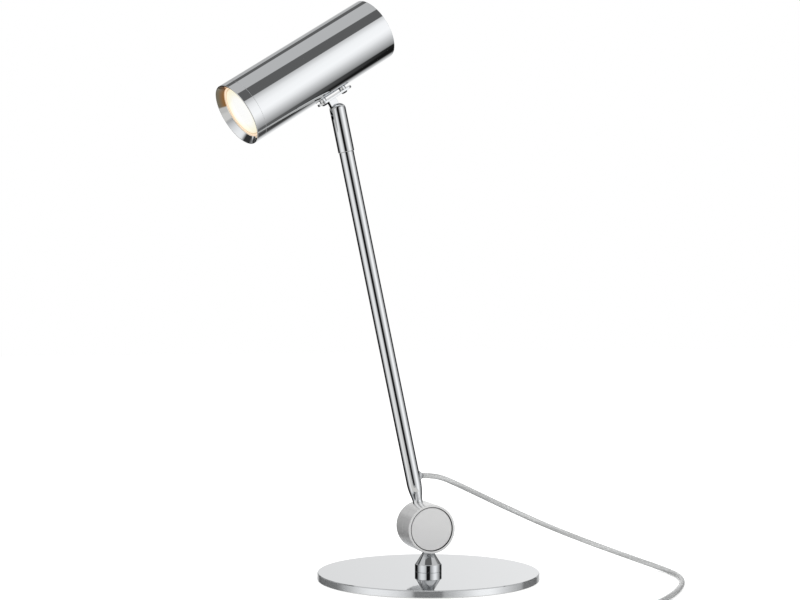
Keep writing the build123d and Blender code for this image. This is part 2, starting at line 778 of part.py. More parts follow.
least = min(
    (samples[one] - samples[two]).length
    for one in range(len(samples))
    for two in range(one + gap_steps // 2, len(samples))
)
print("cord_coil least gap to itself", round(least - cord_d, 2))

# Cord from the switch to the coil
switch_end = (switch_at * Pos(switch_l, 0, cord_height)).position
tail_points = [switch_end, switch_end + switch_way * tail_run, coil_in - coil_heading(0) * tail_run, coil_in]
cord_tail, tail_length = cord_tube("cord_tail", tail_points)
pieces["cord_tail"] = cord_tail

# Strap around the coil's turns
coil_wide_r = coil_in_r + coil_pitch * (math.hypot(coil_turns / 2, coil_ease_share) - coil_ease_share)
tie_low = coil_in_r - cord_r - tie_slack
tie_high = coil_wide_r + cord_r + tie_slack
tie_top = coil_z + coil_layer + cord_r + face_gap
tie_half = tie_w / 2
tie = block(tie_low - tie_t, tie_high + tie_t, -tie_half, tie_half, tie_lift, tie_top + tie_t)
tie -= block(tie_low, tie_high, -tie_w, tie_w, tie_lift + tie_t, tie_top)
pieces["coil_tie"] = Pos(coil_x, coil_y, 0) * Rot(0, 0, tie_angle) * tie

# Short end of the cord, which turns away from the coil to the plug
coil_way = coil_heading(coil_turns)
plug_way = coil_way.rotate(Axis.Z, plug_turn)
plug_way = Vector(plug_way.X, plug_way.Y, 0).normalized()
plug_z = plug_h / 2
end_near = coil_out + coil_way * plug_run
end_far = end_near + plug_way * plug_run
end_far = Vector(end_far.X, end_far.Y, plug_z)
end_point = end_far + plug_way * plug_run
cord_end, end_length = cord_tube("cord_end", [coil_out, end_near, end_far, end_point])
pieces["cord_end"] = cord_end

# Plug: a flat body with a tapered collar, and two round pins
plug_at = Location(Plane(origin=end_point, x_dir=plug_way, z_dir=(0, 0, 1)))
nose_half = plug_nose_w / 2
wide_half = plug_w / 2
plug_outline = Polyline(
    (0, -nose_half),
    (plug_nose_l, -nose_half),
    (plug_shoulder_l, -wide_half),
    (plug_l, -wide_half),
    (plug_l, wide_half),
    (plug_shoulder_l, wide_half),
    (plug_nose_l, nose_half),
    (0, nose_half),
    close=True,
)
plug = extrude(make_face(plug_outline), plug_z, both=True)
plug = fillet(plug.edges().filter_by(Axis.Z), plug_edge_r)
plug = Pos(plug_collar_l, 0, 0) * plug
collar = turned([(0, 0), (plug_collar_end_r, 0), (plug_collar_r, plug_collar_l), (0, plug_collar_l)])
plug += Rot(0, 90, 0) * collar
plug_face = plug_collar_l + plug_l
plug_pins = []
for side in (-1, 1):
    pin_at = Pos(plug_face, side * plug_pin_gap / 2, 0) * Rot(0, 90, 0)
    pin = rod(plug_pin_r, -plug_pin_seat, plug_pin_l)
    pin = fillet(edge_at(pin, plug_pin_l), plug_pin_round)
    plug_pins.append(plug_at * pin_at * pin)
    plug -= pin_at * rod(plug_pin_r + seat_gap, -plug_pin_seat - seat_gap, over)
pieces["plug_body"] = plug_at * plug
pieces["plug_pins"] = Compound(children=plug_pins)

cord_total = hang_length + floor_length + switch_l + tail_length + coil_line.length + end_length
print("whole cord", round(cord_total, 1))

os.makedirs("parts", exist_ok=True)
for node, shape in pieces.items():
    shape.label = node
    export_step(shape, f"parts/{node}.step")
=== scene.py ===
# %% [markdown]
# A desk lamp in polished chrome: a round plate, a turned post, a satin pivot drum, a leaning rod and
# a tube-shaped head with a reflector bulb. The CAD model is loaded first and stays where it is. Every
# piece made here is drawn in the same frame, in metres, so a size in millimetres is multiplied by MM.

# %% Load the frame
import math

import bmesh
import bpy
from mathutils import Matrix, Vector


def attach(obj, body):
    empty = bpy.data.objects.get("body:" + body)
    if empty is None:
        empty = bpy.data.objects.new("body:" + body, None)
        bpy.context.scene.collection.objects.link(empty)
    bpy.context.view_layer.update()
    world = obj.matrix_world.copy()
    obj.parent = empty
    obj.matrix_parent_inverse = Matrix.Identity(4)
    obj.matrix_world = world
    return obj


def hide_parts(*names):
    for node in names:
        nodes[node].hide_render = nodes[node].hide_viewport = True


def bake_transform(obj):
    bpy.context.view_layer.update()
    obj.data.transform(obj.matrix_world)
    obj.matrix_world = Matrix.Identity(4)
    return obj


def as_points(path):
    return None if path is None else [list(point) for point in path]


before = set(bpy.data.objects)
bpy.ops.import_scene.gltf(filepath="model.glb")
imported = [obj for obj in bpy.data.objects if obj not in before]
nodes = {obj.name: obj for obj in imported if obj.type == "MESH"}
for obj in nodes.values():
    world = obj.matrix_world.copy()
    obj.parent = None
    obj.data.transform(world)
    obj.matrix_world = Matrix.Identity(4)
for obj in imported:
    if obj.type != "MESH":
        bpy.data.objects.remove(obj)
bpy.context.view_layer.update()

MM = 0.001
scene = bpy.context.scene
scene.view_settings.view_transform = "Standard"

# %% [markdown]
# The camera stands at the height of the lamp's middle, about a metre and a half away, and looks level.
# A level camera keeps upright edges upright, and a longish lens keeps the plate's ellipse flat. Its
# place and lens come from fitting the known outlines of the plate, drum, rod and head.

# %% Camera
CAMERA_PLACE = Vector((-480.1, -1393.7, 251.3)) * MM
VIEW_WAY = Vector((0.3093, 0.9510, 0.0)).normalized()
VIEW_RIGHT = VIEW_WAY.cross(Vector((0, 0, 1)))
SENSOR_W = 36.0
CAMERA_LENS = 73.55

camera_data = bpy.data.cameras.new("photo_camera")
camera_data.sensor_fit = "HORIZONTAL"
camera_data.sensor_width = SENSOR_W
camera_data.lens = CAMERA_LENS
camera = bpy.data.objects.new("photo_camera", camera_data)
camera.location = CAMERA_PLACE
camera.rotation_euler = VIEW_WAY.to_track_quat("-Z", "Y").to_euler()
scene.collection.objects.link(camera)
scene.camera = camera
print("camera", [round(x, 3) for x in camera.location], "lens", camera_data.lens)

# %% [markdown]
# Each group of pieces has its own axis: the drum's along Y, the rod's leaning to the left, the
# knuckle's turned a little about the rod, and the head's tilted about the hinge pin. A matrix for each
# one lets a piece be modelled upright about its own axis and then be put in its place in the mesh.

# %% Frames of the lamp's parts
DRUM_HEIGHT = 45.8
ROD_SIDE = 16.0
LEAN = math.radians(12.04)
SWIVEL = math.radians(10.5)
HEAD_TILT = math.radians(20.4)
HINGE_UP = 381.95
HEAD_FRONT = 87.4
HEAD_AXIS_UP = 46.1
GLAND_UP = 46.5
X_WAY, Y_WAY, Z_WAY = (1, 0, 0), (0, 1, 0), (0, 0, 1)


def frame_at(origin, x_way, z_way):
    """A matrix from a piece's own axes to the lamp's, with the origin in millimetres."""
    z_way = Vector(z_way).normalized()
    x_way = Vector(x_way).normalized()
    turn = Matrix((x_way, z_way.cross(x_way), z_way)).transposed().to_4x4()
    return Matrix.Translation(Vector(origin) * MM) @ turn


TABLE_AT = Matrix.Identity(4)
DRUM_AT = frame_at((0, 0, DRUM_HEIGHT), X_WAY, Y_WAY)
ROD_AT = frame_at(
    (0, ROD_SIDE, DRUM_HEIGHT), (math.cos(LEAN), 0, math.sin(LEAN)), (-math.sin(LEAN), 0, math.cos(LEAN))
)
KNUCKLE_AT = ROD_AT @ Matrix.Rotation(SWIVEL, 4, "Z")
HEAD_AT = KNUCKLE_AT @ Matrix.Translation((0, 0, HINGE_UP * MM)) @ Matrix.Rotation(-HEAD_TILT, 4, "Y")
FRONT_AT = HEAD_AT @ frame_at((-HEAD_FRONT, 0, HEAD_AXIS_UP), Y_WAY, X_WAY)
GLAND_AT = frame_at(ROD_AT @ Vector((0, 0, GLAND_UP * MM)) / MM, Y_WAY, X_WAY)
print("head front", [round(x / MM, 2) for x in FRONT_AT.translation])

# %% [markdown]
# A material here is a small tree of nodes. One function fills a node's sockets with values or links, and
# one adds a node with its settings and gives back its output: the one that is named, or else the first
# that is in use. Another turns an sRGB hex value, as a paint chart gives it, into the linear colour that
# the renderer uses. Object coordinates are in metres, so a pattern of 22 mm has a scale of 1 / 0.022.

# %% Helpers for materials


def linear(hex_value):
    """An sRGB hex colour as linear red, green, blue and alpha."""
    parts = [int(hex_value[place:place + 2], 16) / 255 for place in (1, 3, 5)]
    return tuple(c / 12.92 if c <= 0.04045 else ((c + 0.055) / 1.055) ** 2.4 for c in parts) + (1.0,)


def fill(node, sockets):
    """Fills a node's sockets with values or links."""
    for name, value in dict(sockets).items():
        if isinstance(value, bpy.types.NodeSocket):
            node.id_data.links.new(value, node.inputs[name])
        else:
            node.inputs[name].default_value = value


def add_node(tree, kind, sockets=(), give=None, **settings):
    """Adds a shader node with its settings and links, and gives back its output."""
    node = tree.nodes.new("ShaderNode" + kind)
    for name, value in settings.items():
        setattr(node, name, value)
    fill(node, sockets)
    return node.outputs[give] if give else next((out for out in node.outputs if out.enabled), None)


def new_material(name, **surface):
    """A material with one Principled shader; constants go straight on the shader's own sockets."""
    material = bpy.data.materials.new(name)
    material.use_nodes = True
    shader = material.node_tree.nodes["Principled BSDF"]
    fill(shader, {socket.replace("_", " "): value for socket, value in surface.items()})
    print("material", name)
    return material, material.node_tree, shader


# %% [markdown]
# Chrome plate is a bright, slightly cold metal with almost no roughness. What the eye reads as chrome
# is the room in it, so the colour is plain, and the only detail is what a cloth leaves: soft wiping
# marks some 20 mm long and finer hairlines, which make the roughness vary between two small values.

# %% Polished chrome
CHROME = "#E2E4E6"
WIPE = 22.0
finishes = {}
finishes["chrome"], tree, shader = new_material(
    "polished_chrome_plate", Base_Color=linear(CHROME), Metallic=1.0
)
spot = add_node(tree, "TexCoord", give="Object")
marks = {"Scale": 1 / (WIPE * MM), "Detail": 5.0, "Roughness": 0.55}
wipe = add_node(tree, "TexNoise", {"Vector": spot, **marks})
gloss_range = {"From Min": 0.3, "From Max": 0.7, "To Min": 0.02, "To Max": 0.05}
fill(shader, {"Roughness": add_node(tree, "MapRange", {"Value": wipe, **gloss_range})})

# %% [markdown]
# The plate's edge is turned on a lathe and plated without the last polish. Its fine rings scatter part of
# the light, so the edge looks paler and softer than the mirror on top. The same chrome is used, and where
# a point is further from the middle than the edge begins, the metal share falls and the roughness rises.

# %% Chrome with a turned edge
PLATE_R = 100.0
PLATE_WIPE = 30.0
EDGE_METAL = 0.74
EDGE_ROUGH = 0.09
finishes["chrome_edge"], tree, shader = new_material("chrome_plate_turned_edge", Base_Color=linear(CHROME))
spot = add_node(tree, "TexCoord", give="Object")
flat_spot = add_node(tree, "VectorMath", {0: spot, 1: (1, 1, 0)}, operation="MULTIPLY")
reach = add_node(tree, "VectorMath", {0: flat_spot}, operation="LENGTH")
wipe = add_node(tree, "TexNoise", {"Vector": spot, "Scale": 1 / (PLATE_WIPE * MM), "Detail": 4.0})
gloss_range = {"From Min": 0.3, "From Max": 0.7, "To Min": 0.03, "To Max": 0.06}
top_gloss = add_node(tree, "MapRange", {"Value": wipe, **gloss_range})
edge_range = {"From Min": (PLATE_R - 0.08) * MM, "From Max": (PLATE_R - 0.02) * MM}
for socket, before, after in (("Metallic", 1.0, EDGE_METAL), ("Roughness", top_gloss, EDGE_ROUGH)):
    change = {"Value": reach, **edge_range, "To Min": before, "To Max": after}
    fill(shader, {socket: add_node(tree, "MapRange", change)})

# %% [markdown]
# Most other surfaces follow one pattern: where it is high, the colour, the roughness and the height all
# change together. One function links such a pattern to a shader. The colour may follow a pattern of its
# own, and the roughness may use only the middle of the pattern's range.

# %% A surface that follows a pattern


def vary(shader, pattern, tones, rough, strength, depth, tone_by=None, span=(0.0, 1.0)):
    """Varies a shader's colour between two hex tones, its roughness, and its height by a depth in mm."""
    tree = shader.id_data
    mix = {0: pattern if tone_by is None else tone_by, 6: linear(tones[0]), 7: linear(tones[1])}
    tint = add_node(tree, "Mix", mix, data_type="RGBA")
    change = {"From Min": span[0], "From Max": span[1], "To Min": rough[0], "To Max": rough[1]}
    gloss = add_node(tree, "MapRange", {"Value": pattern, **change})
    bump = add_node(tree, "Bump", {"Height": pattern, "Strength": strength, "Distance": depth * MM})
    fill(shader, {"Base Color": tint, "Roughness": gloss, "Normal": bump})
    return tint


# %% [markdown]
# The drum is pearl nickel: the metal is blasted with fine beads, brushed lightly on the lathe and plated
# thin. Its tiny dimples scatter much of the light, so it looks soft and whitish, with only a hint of a
# mirror. The brush leaves lines round the drum: a noise that changes quickly along Y, the drum's axis,
# and slowly across it. Real lines are 0.05 mm apart; they are drawn near 0.25 mm, so that they show.
# The discs are only blasted, so their grain is the same in every direction and has no lacquer over it.
# The narrow groove round each disc, between the rim and the disc, is painted dark as shade: that mask is the
# distance from the drum's axis.

# %% Satin drum and its discs
DRUM_R = 21.9
RIM_R = 19.8
COVER_R = 19.15
GROOVE_PAINTED_SHADE = linear("#4C4C4E")
LACQUER_ROUGH = 0.08
# slot, name, metal, lacquer, grain in mm, tones, roughness, strength and depth of the bump
SATINS = (
    ("satin_steel", "pearl_nickel_lathe_brushed", 0.3, 0.6, (25.0, 0.25, 25.0), ("#DEDEDE", "#E8E8E8"),
     (0.16, 0.28), 0.12, 0.02),
    ("disc_steel", "pearl_nickel_bead_blasted", 0.45, 0.0, (0.35, 0.35, 0.35), ("#E4E4E4", "#EEEEEE"),
     (0.3, 0.44), 0.2, 0.03),
)


def groove_shade_share(tree, spot):
    """One in the groove round a disc, where shade is painted, nought elsewhere, from Object coordinates."""
    to_axis = {0: spot, 1: (1, 0, 1), 2: (0, 0, -DRUM_HEIGHT * MM)}
    from_axis = add_node(tree, "VectorMath", to_axis, operation="MULTIPLY_ADD")
    reach = add_node(tree, "VectorMath", {0: from_axis}, operation="LENGTH")
    offset = add_node(tree, "Math", {0: reach, 1: (RIM_R + COVER_R) / 2 * MM}, operation="SUBTRACT")
    off_groove = add_node(tree, "Math", {0: offset}, operation="ABSOLUTE")
    half = (RIM_R - COVER_R) / 2
    fall = {"From Min": (half + 0.12) * MM, "From Max": (half + 0.02) * MM}
    return add_node(tree, "MapRange", {"Value": off_groove, **fall})


for slot, name, metal, lacquer, grain, tones, rough, strength, depth in SATINS:
    finishes[slot], tree, shader = new_material(
        name, Metallic=metal, Coat_Weight=lacquer, Coat_Roughness=LACQUER_ROUGH
    )
    spot = add_node(tree, "TexCoord", give="Object")
    grain_spot = add_node(tree, "Mapping", {"Vector": spot, "Scale": [1 / (size * MM) for size in grain]})
    grit = add_node(tree, "TexNoise", {"Vector": grain_spot, "Scale": 1.0, "Detail": 3.0})
    tint = vary(shader, grit, tones, rough, strength, depth, span=(0.25, 0.75))
    # painted shade: the groove's walls get a dark grey mixed over the satin colour
    groove_shaded = {0: groove_shade_share(tree, spot), 6: tint, 7: GROOVE_PAINTED_SHADE}
    fill(shader, {"Base Color": add_node(tree, "Mix", groove_shaded, data_type="RGBA")})

# %% [markdown]
# The cord's jacket is soft, milky-clear PVC over two twisted cores. Part of the light goes through it, so
# its middle looks pale and its edges darker, and the cores show as faint slanting bands. The bands follow
# the cord's own UV map, which a curve's tube is given: U runs along the cord and V round it.

# %% Cord jacket
CORE_PITCH = 160.0
JACKET_CLOUD = 9.0
JACKET_TONES = ("#CDCECE", "#E4E5E5")


def jacket_material(name, length):
    """Milky-clear PVC with faint slanting bands of two cores, twisted along a length in mm."""
    material, tree, shader = new_material(name, IOR=1.53, Transmission_Weight=0.5)
    along = add_node(tree, "UVMap")
    twists = (length / CORE_PITCH, 1.0, 0)
    slant = add_node(tree, "VectorMath", {0: along, 1: twists}, operation="DOT_PRODUCT")
    angle = add_node(tree, "Math", {0: slant, 1: 4 * math.pi}, operation="MULTIPLY")
    wave = add_node(tree, "Math", {0: angle}, operation="SINE")
    cores = add_node(tree, "MapRange", {"Value": wave, "From Min": -1.0})
    spot = add_node(tree, "TexCoord", give="Object")
    cloud = add_node(tree, "TexNoise", {"Vector": spot, "Scale": 1 / (JACKET_CLOUD * MM), "Detail": 3.0})
    vary(shader, cloud, JACKET_TONES, (0.16, 0.26), 0.08, 0.2, tone_by=cores)
    return material


# %% [markdown]
# The small plastic, fibre, ceramic and steel parts each get the same kind of tree: a colour that
# varies a little, a roughness, and a fine bump at the size of the real grain, such as the 0.3 mm spark
# texture of a moulded switch. A table keeps the differences in one place.

# %% Plain materials of the small parts
CLOUD = 12.0
# slot: name, light tone, dark tone, roughness, grain in mm, strength of the bump, metal
SMALL_FINISHES = {
    "switch_plastic": ("light_grey_abs_spark_texture", "#C3C5C6", "#B9BBBC", 0.45, 0.3, 0.25, 0.0),
    "rocker_plastic": ("mid_grey_abs_gloss", "#8B8E91", "#838689", 0.3, 0.5, 0.08, 0.0),
    "pad": ("black_eva_foam", "#2A2B2D", "#1C1D1F", 0.85, 0.8, 0.5, 0.0),
    "fibre": ("vulcanised_fibre", "#6B4634", "#543527", 0.7, 0.6, 0.3, 0.0),
    "acetal": ("white_acetal", "#E6E4DD", "#DEDCD4", 0.4, 2.0, 0.05, 0.0),
    "grommet": ("clear_grey_tpe", "#C2C4C6", "#B4B6B8", 0.25, 0.6, 0.06, 0.0),
    "inner_lead": ("cream_silicone", "#E3DCCB", "#D8D0BD", 0.5, 1.5, 0.1, 0.0),
    "bulb_shell": ("white_thermoplastic", "#E2E1DD", "#D6D5D0", 0.45, 0.8, 0.1, 0.0),
    "porcelain": ("glazed_porcelain", "#EEEBE3", "#E4E0D6", 0.15, 3.0, 0.05, 0.0),
    "zinc_steel": ("zinc_plated_steel", "#B7BBC0", "#A9ADB2", 0.32, 1.2, 0.1, 1.0),
    "black_zinc": ("black_passivated_zinc_plate", "#4A4B4E", "#3E3F42", 0.3, 1.2, 0.1, 1.0),
    "nickel_brass": ("nickel_plated_brass", "#CFC7B4", "#C2B99F", 0.2, 1.5, 0.05, 1.0),
}
for slot, (name, light, dark, rough, grain, strength, metal) in SMALL_FINISHES.items():
    finishes[slot], tree, shader = new_material(name, Metallic=metal)
    spot = add_node(tree, "TexCoord", give="Object")
    grit = add_node(tree, "TexNoise", {"Vector": spot, "Scale": 1 / (grain * MM), "Detail": 4.0})
    cloud = add_node(tree, "TexNoise", {"Vector": spot, "Scale": 1 / (CLOUD * MM)})
    rough_range = (0.8 * rough, min(1.2 * rough, 1))
    vary(shader, grit, (light, dark), rough_range, strength, 0.1 * grain, tone_by=cloud)

# %% [markdown]
# The strap round the coil is woven nylon, with ribs 0.9 mm apart both ways. Two waves are multiplied, one
# along the strap and one across, so the bump has the little cushions of a plain weave. The colour follows the
# same height: the hollows between the cushions are painted darker as shade. A Mapping node turns the
# pattern to lie along the strap.

# %% Woven strap
STRAP_TURN = math.radians(-18.0)
WEAVE_PITCH = 0.9
finishes["tie"], tree, shader = new_material("black_nylon_plain_weave", Sheen_Weight=0.4, Sheen_Roughness=0.4)
spot = add_node(tree, "TexCoord", give="Object")
strap_spot = add_node(tree, "Mapping", {"Vector": spot, "Rotation": (0, 0, -STRAP_TURN)})
weave = []
for way in ((1.0, 0.0, 1.0), (0.0, 1.0, 0.0)):
    along = add_node(tree, "VectorMath", {0: strap_spot, 1: way}, operation="DOT_PRODUCT")
    angle = add_node(tree, "Math", {0: along, 1: 2 * math.pi / (WEAVE_PITCH * MM)}, operation="MULTIPLY")
    weave.append(add_node(tree, "Math", {0: angle}, operation="SINE"))
cushions = add_node(tree, "Math", {0: weave[0], 1: weave[1]}, operation="MULTIPLY")
height = add_node(tree, "MapRange", {"Value": cushions, "From Min": -1.0})
# painted shade: the hollows of the weave get the darker tone, the cushions the lighter one
vary(shader, height, ("#17181A", "#303236"), (0.85, 0.6), 0.7, 0.15)

# %% [markdown]
# The lens glows. Its middle is so bright that it reads as white, and towards the rim the light has
# passed more plastic and turns to a warm yellow and to peach, with the brown line of a moulded ring. The
# distance from the lens's own axis drives that: Object coordinates are moved and turned into the head's
# frame by a Mapping node. A clear coat stands for the smooth outer face.

# %% Glowing lens
LENS_R = 24.4
GLOW_STOPS = (
    (0.0, "#FFFFFF"), (0.5, "#FFFFFC"), (0.66, "#FDFBEC"), (0.8, "#FCF8DE"), (0.87, "#FFF5DC"),
    (0.9, "#F3DDB8"), (0.915, "#D6B388"), (0.93, "#FFEAD0"), (0.97, "#FFE4C6"), (1.0, "#E0B88C"),
)


def head_place(tree):
    """Object coordinates turned into the head's own frame, and their distance from its axis."""
    to_head = FRONT_AT.inverted()
    spot = add_node(tree, "TexCoord", give="Object")
    move = {"Vector": spot, "Rotation": to_head.to_euler(), "Location": to_head.translation}
    head_spot = add_node(tree, "Mapping", move)
    off_axis = add_node(tree, "VectorMath", {0: head_spot, 1: (1, 1, 0)}, operation="MULTIPLY")
    return head_spot, add_node(tree, "VectorMath", {0: off_axis}, operation="LENGTH")


def set_stops(ramp, stops):
    """Puts colours at places along a colour ramp, which starts with two of them."""
    for count, (place, colour) in enumerate(stops):
        element = ramp.elements[count] if count < 2 else ramp.elements.new(place)
        element.position = place
        element.color = colour


finishes["lens"], tree, shader = new_material(
    "frosted_polycarbonate_lens_lit", Base_Color=linear("#3A3834"), Roughness=0.35, IOR=1.585,
    Coat_Weight=1.0, Coat_Roughness=0.1, Coat_IOR=1.585, Emission_Strength=1.1,
)
head_spot, reach = head_place(tree)
share = add_node(tree, "MapRange", {"Value": reach, "From Min": 0.0, "From Max": LENS_R * MM})
glow = add_node(tree, "ValToRGB", {"Fac": share})
set_stops(glow.node.color_ramp, [(place, linear(shade)) for place, shade in GLOW_STOPS])
fill(shader, {"Emission Color": glow})

# %% [markdown]
# The bezel is chrome too. On the upper part of its inner cone, a warm brown reflection of the lens's light is
# painted into its colour, more strongly near the lens. The mask for it has four ramps in the head's
# frame: two of the angle round the axis, one of the distance from it, which leaves the outside bright,
# and one of the depth.

# %% Chrome with a painted reflection of the lens


def ramp_mask(tree, ramps):
    """The product of a few ramps, each from one value of a measure to another."""
    mask = 1.0
    for measure, start, full in ramps:
        ramp = add_node(tree, "MapRange", {"Value": measure, "From Min": start, "From Max": full})
        mask = add_node(tree, "Math", {0: ramp, 1: mask}, operation="MULTIPLY")
    return mask


finishes["chrome_lens_reflection_painted"], tree, shader = new_material("chrome_plate_painted_lens_reflection", Metallic=1.0)
head_spot, reach = head_place(tree)
axes = add_node(tree, "SeparateXYZ", {"Vector": head_spot}).node.outputs
angle = add_node(tree, "Math", {0: axes["Y"], 1: axes["X"]}, operation="ARCTAN2")
lens_reflection_ramps = (
    (angle, math.radians(21), math.radians(24)), (angle, math.radians(170), math.radians(130)),
    (reach, 28.5 * MM, 28.2 * MM), (axes["Z"], 6.2 * MM, 5.6 * MM),
)
depth = add_node(tree, "MapRange", {"Value": axes["Z"], "From Min": 1.2 * MM, "From Max": 5.0 * MM})
# painted reflection of the lens's warm light: olive grey at the front of the cone, warm brown deeper in
warm_reflection = add_node(tree, "Mix", {0: depth, 6: linear("#8B8473"), 7: linear("#A87A48")}, data_type="RGBA")
painted_reflection = {0: ramp_mask(tree, lens_reflection_ramps), 6: linear(CHROME), 7: warm_reflection}
tint = add_node(tree, "Mix", painted_reflection, data_type="RGBA")
wipe = add_node(tree, "TexNoise", {"Vector": head_spot, "Scale": 1 / (WIPE * MM), "Detail": 5.0})
gloss = add_node(tree, "MapRange", {"Value": wipe, "To Min": 0.02, "To Max": 0.06})
fill(shader, {"Base Color": tint, "Roughness": gloss})

# %% [markdown]
# Most pieces of a lamp come from a lathe. The half outline of such a piece, a list of radius and height,
# is drawn as a chain of edges and spun once round. Its sharp edges are then bevelled by a few tenths of
# a millimetre, because a real edge is never sharp and its thin bright line is what shows it is metal. A
# corner may name its own width. A weighted-normal modifier keeps the wide faces flat in the shading, so
# that mirrors stay true.

# %% Helpers for turned pieces
TURN_STEPS = 192
WELD = 0.0005 * MM


def bevel(bm, edges, width, segments=3):
    """Rounds some edges by a width in millimetres."""
    if width and edges:
        bmesh.ops.bevel(
            bm, geom=edges, offset=width * MM, offset_type="OFFSET", segments=segments, profile=0.5,
            affect="EDGES", clamp_overlap=True, material=-1,
        )


def sharp_edges(bm, degrees):
    """The edges whose faces turn by more than an angle."""
    return [edge for edge in bm.edges if edge.is_manifold and edge.calc_face_angle() > math.radians(degrees)]


def placed(bm, at):
    """Moves a shape from its own axes to the lamp's."""
    bmesh.ops.transform(bm, matrix=at, verts=bm.verts)
    return bm


def corner_of(vertex):
    """A vertex's radius and height in millimetres."""
    return round(math.hypot(vertex.co.x, vertex.co.y) / MM, 2), round(vertex.co.z / MM, 2)


def turned(outline, at, edge=0.25, steps=TURN_STEPS, sharp=22.0):
    """A piece turned about its local Z axis from its half outline in millimetres; a ring's is closed."""
    bm = bmesh.new()
    chain = [bm.verts.new((corner[0] * MM, 0, corner[1] * MM)) for corner in outline]
    ends = chain[1:] + (chain[:1] if outline[0][0] > 0 else [])
    edges = [bm.edges.new(pair) for pair in zip(chain, ends)]
    bmesh.ops.spin(
        bm, geom=chain + edges, cent=(0, 0, 0), axis=(0, 0, 1), angle=2 * math.pi, steps=steps, use_merge=True
    )
    bmesh.ops.remove_doubles(bm, verts=bm.verts, dist=WELD)
    bmesh.ops.dissolve_degenerate(bm, edges=bm.edges, dist=WELD)
    bmesh.ops.recalc_face_normals(bm, faces=bm.faces)
    widths = {(round(c[0], 2), round(c[1], 2)): c[2] if len(c) > 2 else edge for c in outline}
    for width in sorted(set(widths.values()), reverse=True):
        rings = []
        for line in sharp_edges(bm, sharp):
            start, end = map(corner_of, line.verts)
            if start == end and widths.get(start) == width:
                rings.append(line)
        bevel(bm, rings, width)
    return placed(bm, at)


# %% [markdown]
# A finished shape becomes an object with a finish. It rides on one of the lamp's bodies, the CAD nodes that
# it stands for are hidden, and their slot is printed.

# %% Helpers for finished pieces


def mesh_of(bm, name="shape"):
    """Turns a shape that is done with into a mesh."""
    mesh = bpy.data.meshes.new(name)
    bm.to_mesh(mesh)
    bm.free()
    return mesh


def slot_of(node):
    """The slot in the record that a CAD node's material stands for."""
    return nodes[node].data.materials[0].name.split(".")[0]


def add_piece(name, bm, finish, body, *replaced):
    """Makes the mesh an object that rides on a body and stands for CAD nodes."""
    mesh = mesh_of(bm, name)
    mesh.shade_smooth()
    piece = bpy.data.objects.new(name, mesh)
    scene.collection.objects.link(piece)
    mesh.materials.append(finishes[finish])
    flat = piece.modifiers.new("flat_faces", "WEIGHTED_NORMAL")
    flat.mode = "FACE_AREA"
    flat.weight = 100
    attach(piece, body)
    slot = slot_of(replaced[0]) if replaced else finish
    if replaced:
        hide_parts(*replaced)
    print("piece", name, "slot", slot, "faces", len(mesh.polygons))
    return piece


# %% [markdown]
# The mains cord leaves the grommet level, hangs to the table in one long sag, and runs round in front
# of the plate to an inline switch. A cord is one smooth line under its own weight, so its route points
# are the control points of a NURBS spline of order 3. The same spline, without a bevel, gives the middle
# line that the cord is measured by, and with a round bevel it gives the tube.

# %% Cord from the lamp to the switch
CORD_R = 2.4
LAMP_CORD_L = 562.0
LAMP_ROUTE = [
    (0.05, 16.0, 91.28), (13.0, 16.0, 91.28), (34.0, 16.0, 82.3), (74.0, 16.0, 62.7),
    (120.0, 16.0, 41.4), (160.0, 15.0, 25.0), (190.0, 8.0, 13.6), (210.0, -10.0, 6.0),
    (219.0, -38.0, 2.6), (215.0, -72.0, 2.5), (200.0, -106.0, 2.6), (178.0, -138.0, 2.5),
    (153.0, -167.0, 2.6), (125.0, -194.0, 2.8), (93.0, -217.0, 4.3), (59.0, -232.5, 7.5),
    (24.0, -236.5, 7.5),
]


def cord_piece(name, route, jacket):
    """A tube along the NURBS spline through a route in millimetres, and the points of its middle line."""
    curve = bpy.data.curves.new(name + "_line", "CURVE")
    curve.dimensions = "3D"
    curve.resolution_u = 8
    spline = curve.splines.new("NURBS")
    spline.points.add(len(route) - 1)
    for point, place in zip(spline.points, route):
        point.co = (*(Vector(place) * MM), 1.0)
    spline.order_u = 3
    spline.use_endpoint_u = True
    line = bpy.data.objects.new(name + "_line", curve)
    scene.collection.objects.link(line)
    bpy.context.view_layer.update()
    middle = bpy.data.meshes.new_from_object(line)
    path = [tuple(vertex.co) for vertex in middle.vertices]
    curve.bevel_depth = CORD_R * MM
    curve.bevel_resolution = 5
    curve.use_fill_caps = True
    bpy.context.view_layer.update()
    mesh = bpy.data.meshes.new_from_object(line.evaluated_get(bpy.context.evaluated_depsgraph_get()))
    bpy.data.objects.remove(line)
    bpy.data.meshes.remove(middle)
    mesh.materials.clear()
    mesh.materials.append(jacket)
    mesh.shade_smooth()
    cord = bpy.data.objects.new(name, mesh)
    scene.collection.objects.link(cord)
    length = sum((Vector(b) - Vector(a)).length for a, b in zip(path, path[1:]))
    print("cord", name, "length mm", round(length / MM, 1), "UV maps", mesh.uv_layers.keys())
    return cord, path


finishes["cord"] = jacket_material("milky_clear_pvc_over_twisted_cores", LAMP_CORD_L)
lamp_cord, lamp_path = cord_piece("lamp_cord", LAMP_ROUTE, finishes["cord"])
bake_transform(lamp_cord)
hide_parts("cord_hang", "cord_floor")

# %% [markdown]
# Behind the switch the spare length is put away: a short lead into a flat coil of six turns, wound in
# on the table and out again on top of itself, and a short end to the plug. The coil's turns are more
# points of the same spline, sixteen a turn. A spline of order 3 cuts inside its points, so their radius
# is widened by the share that it loses.

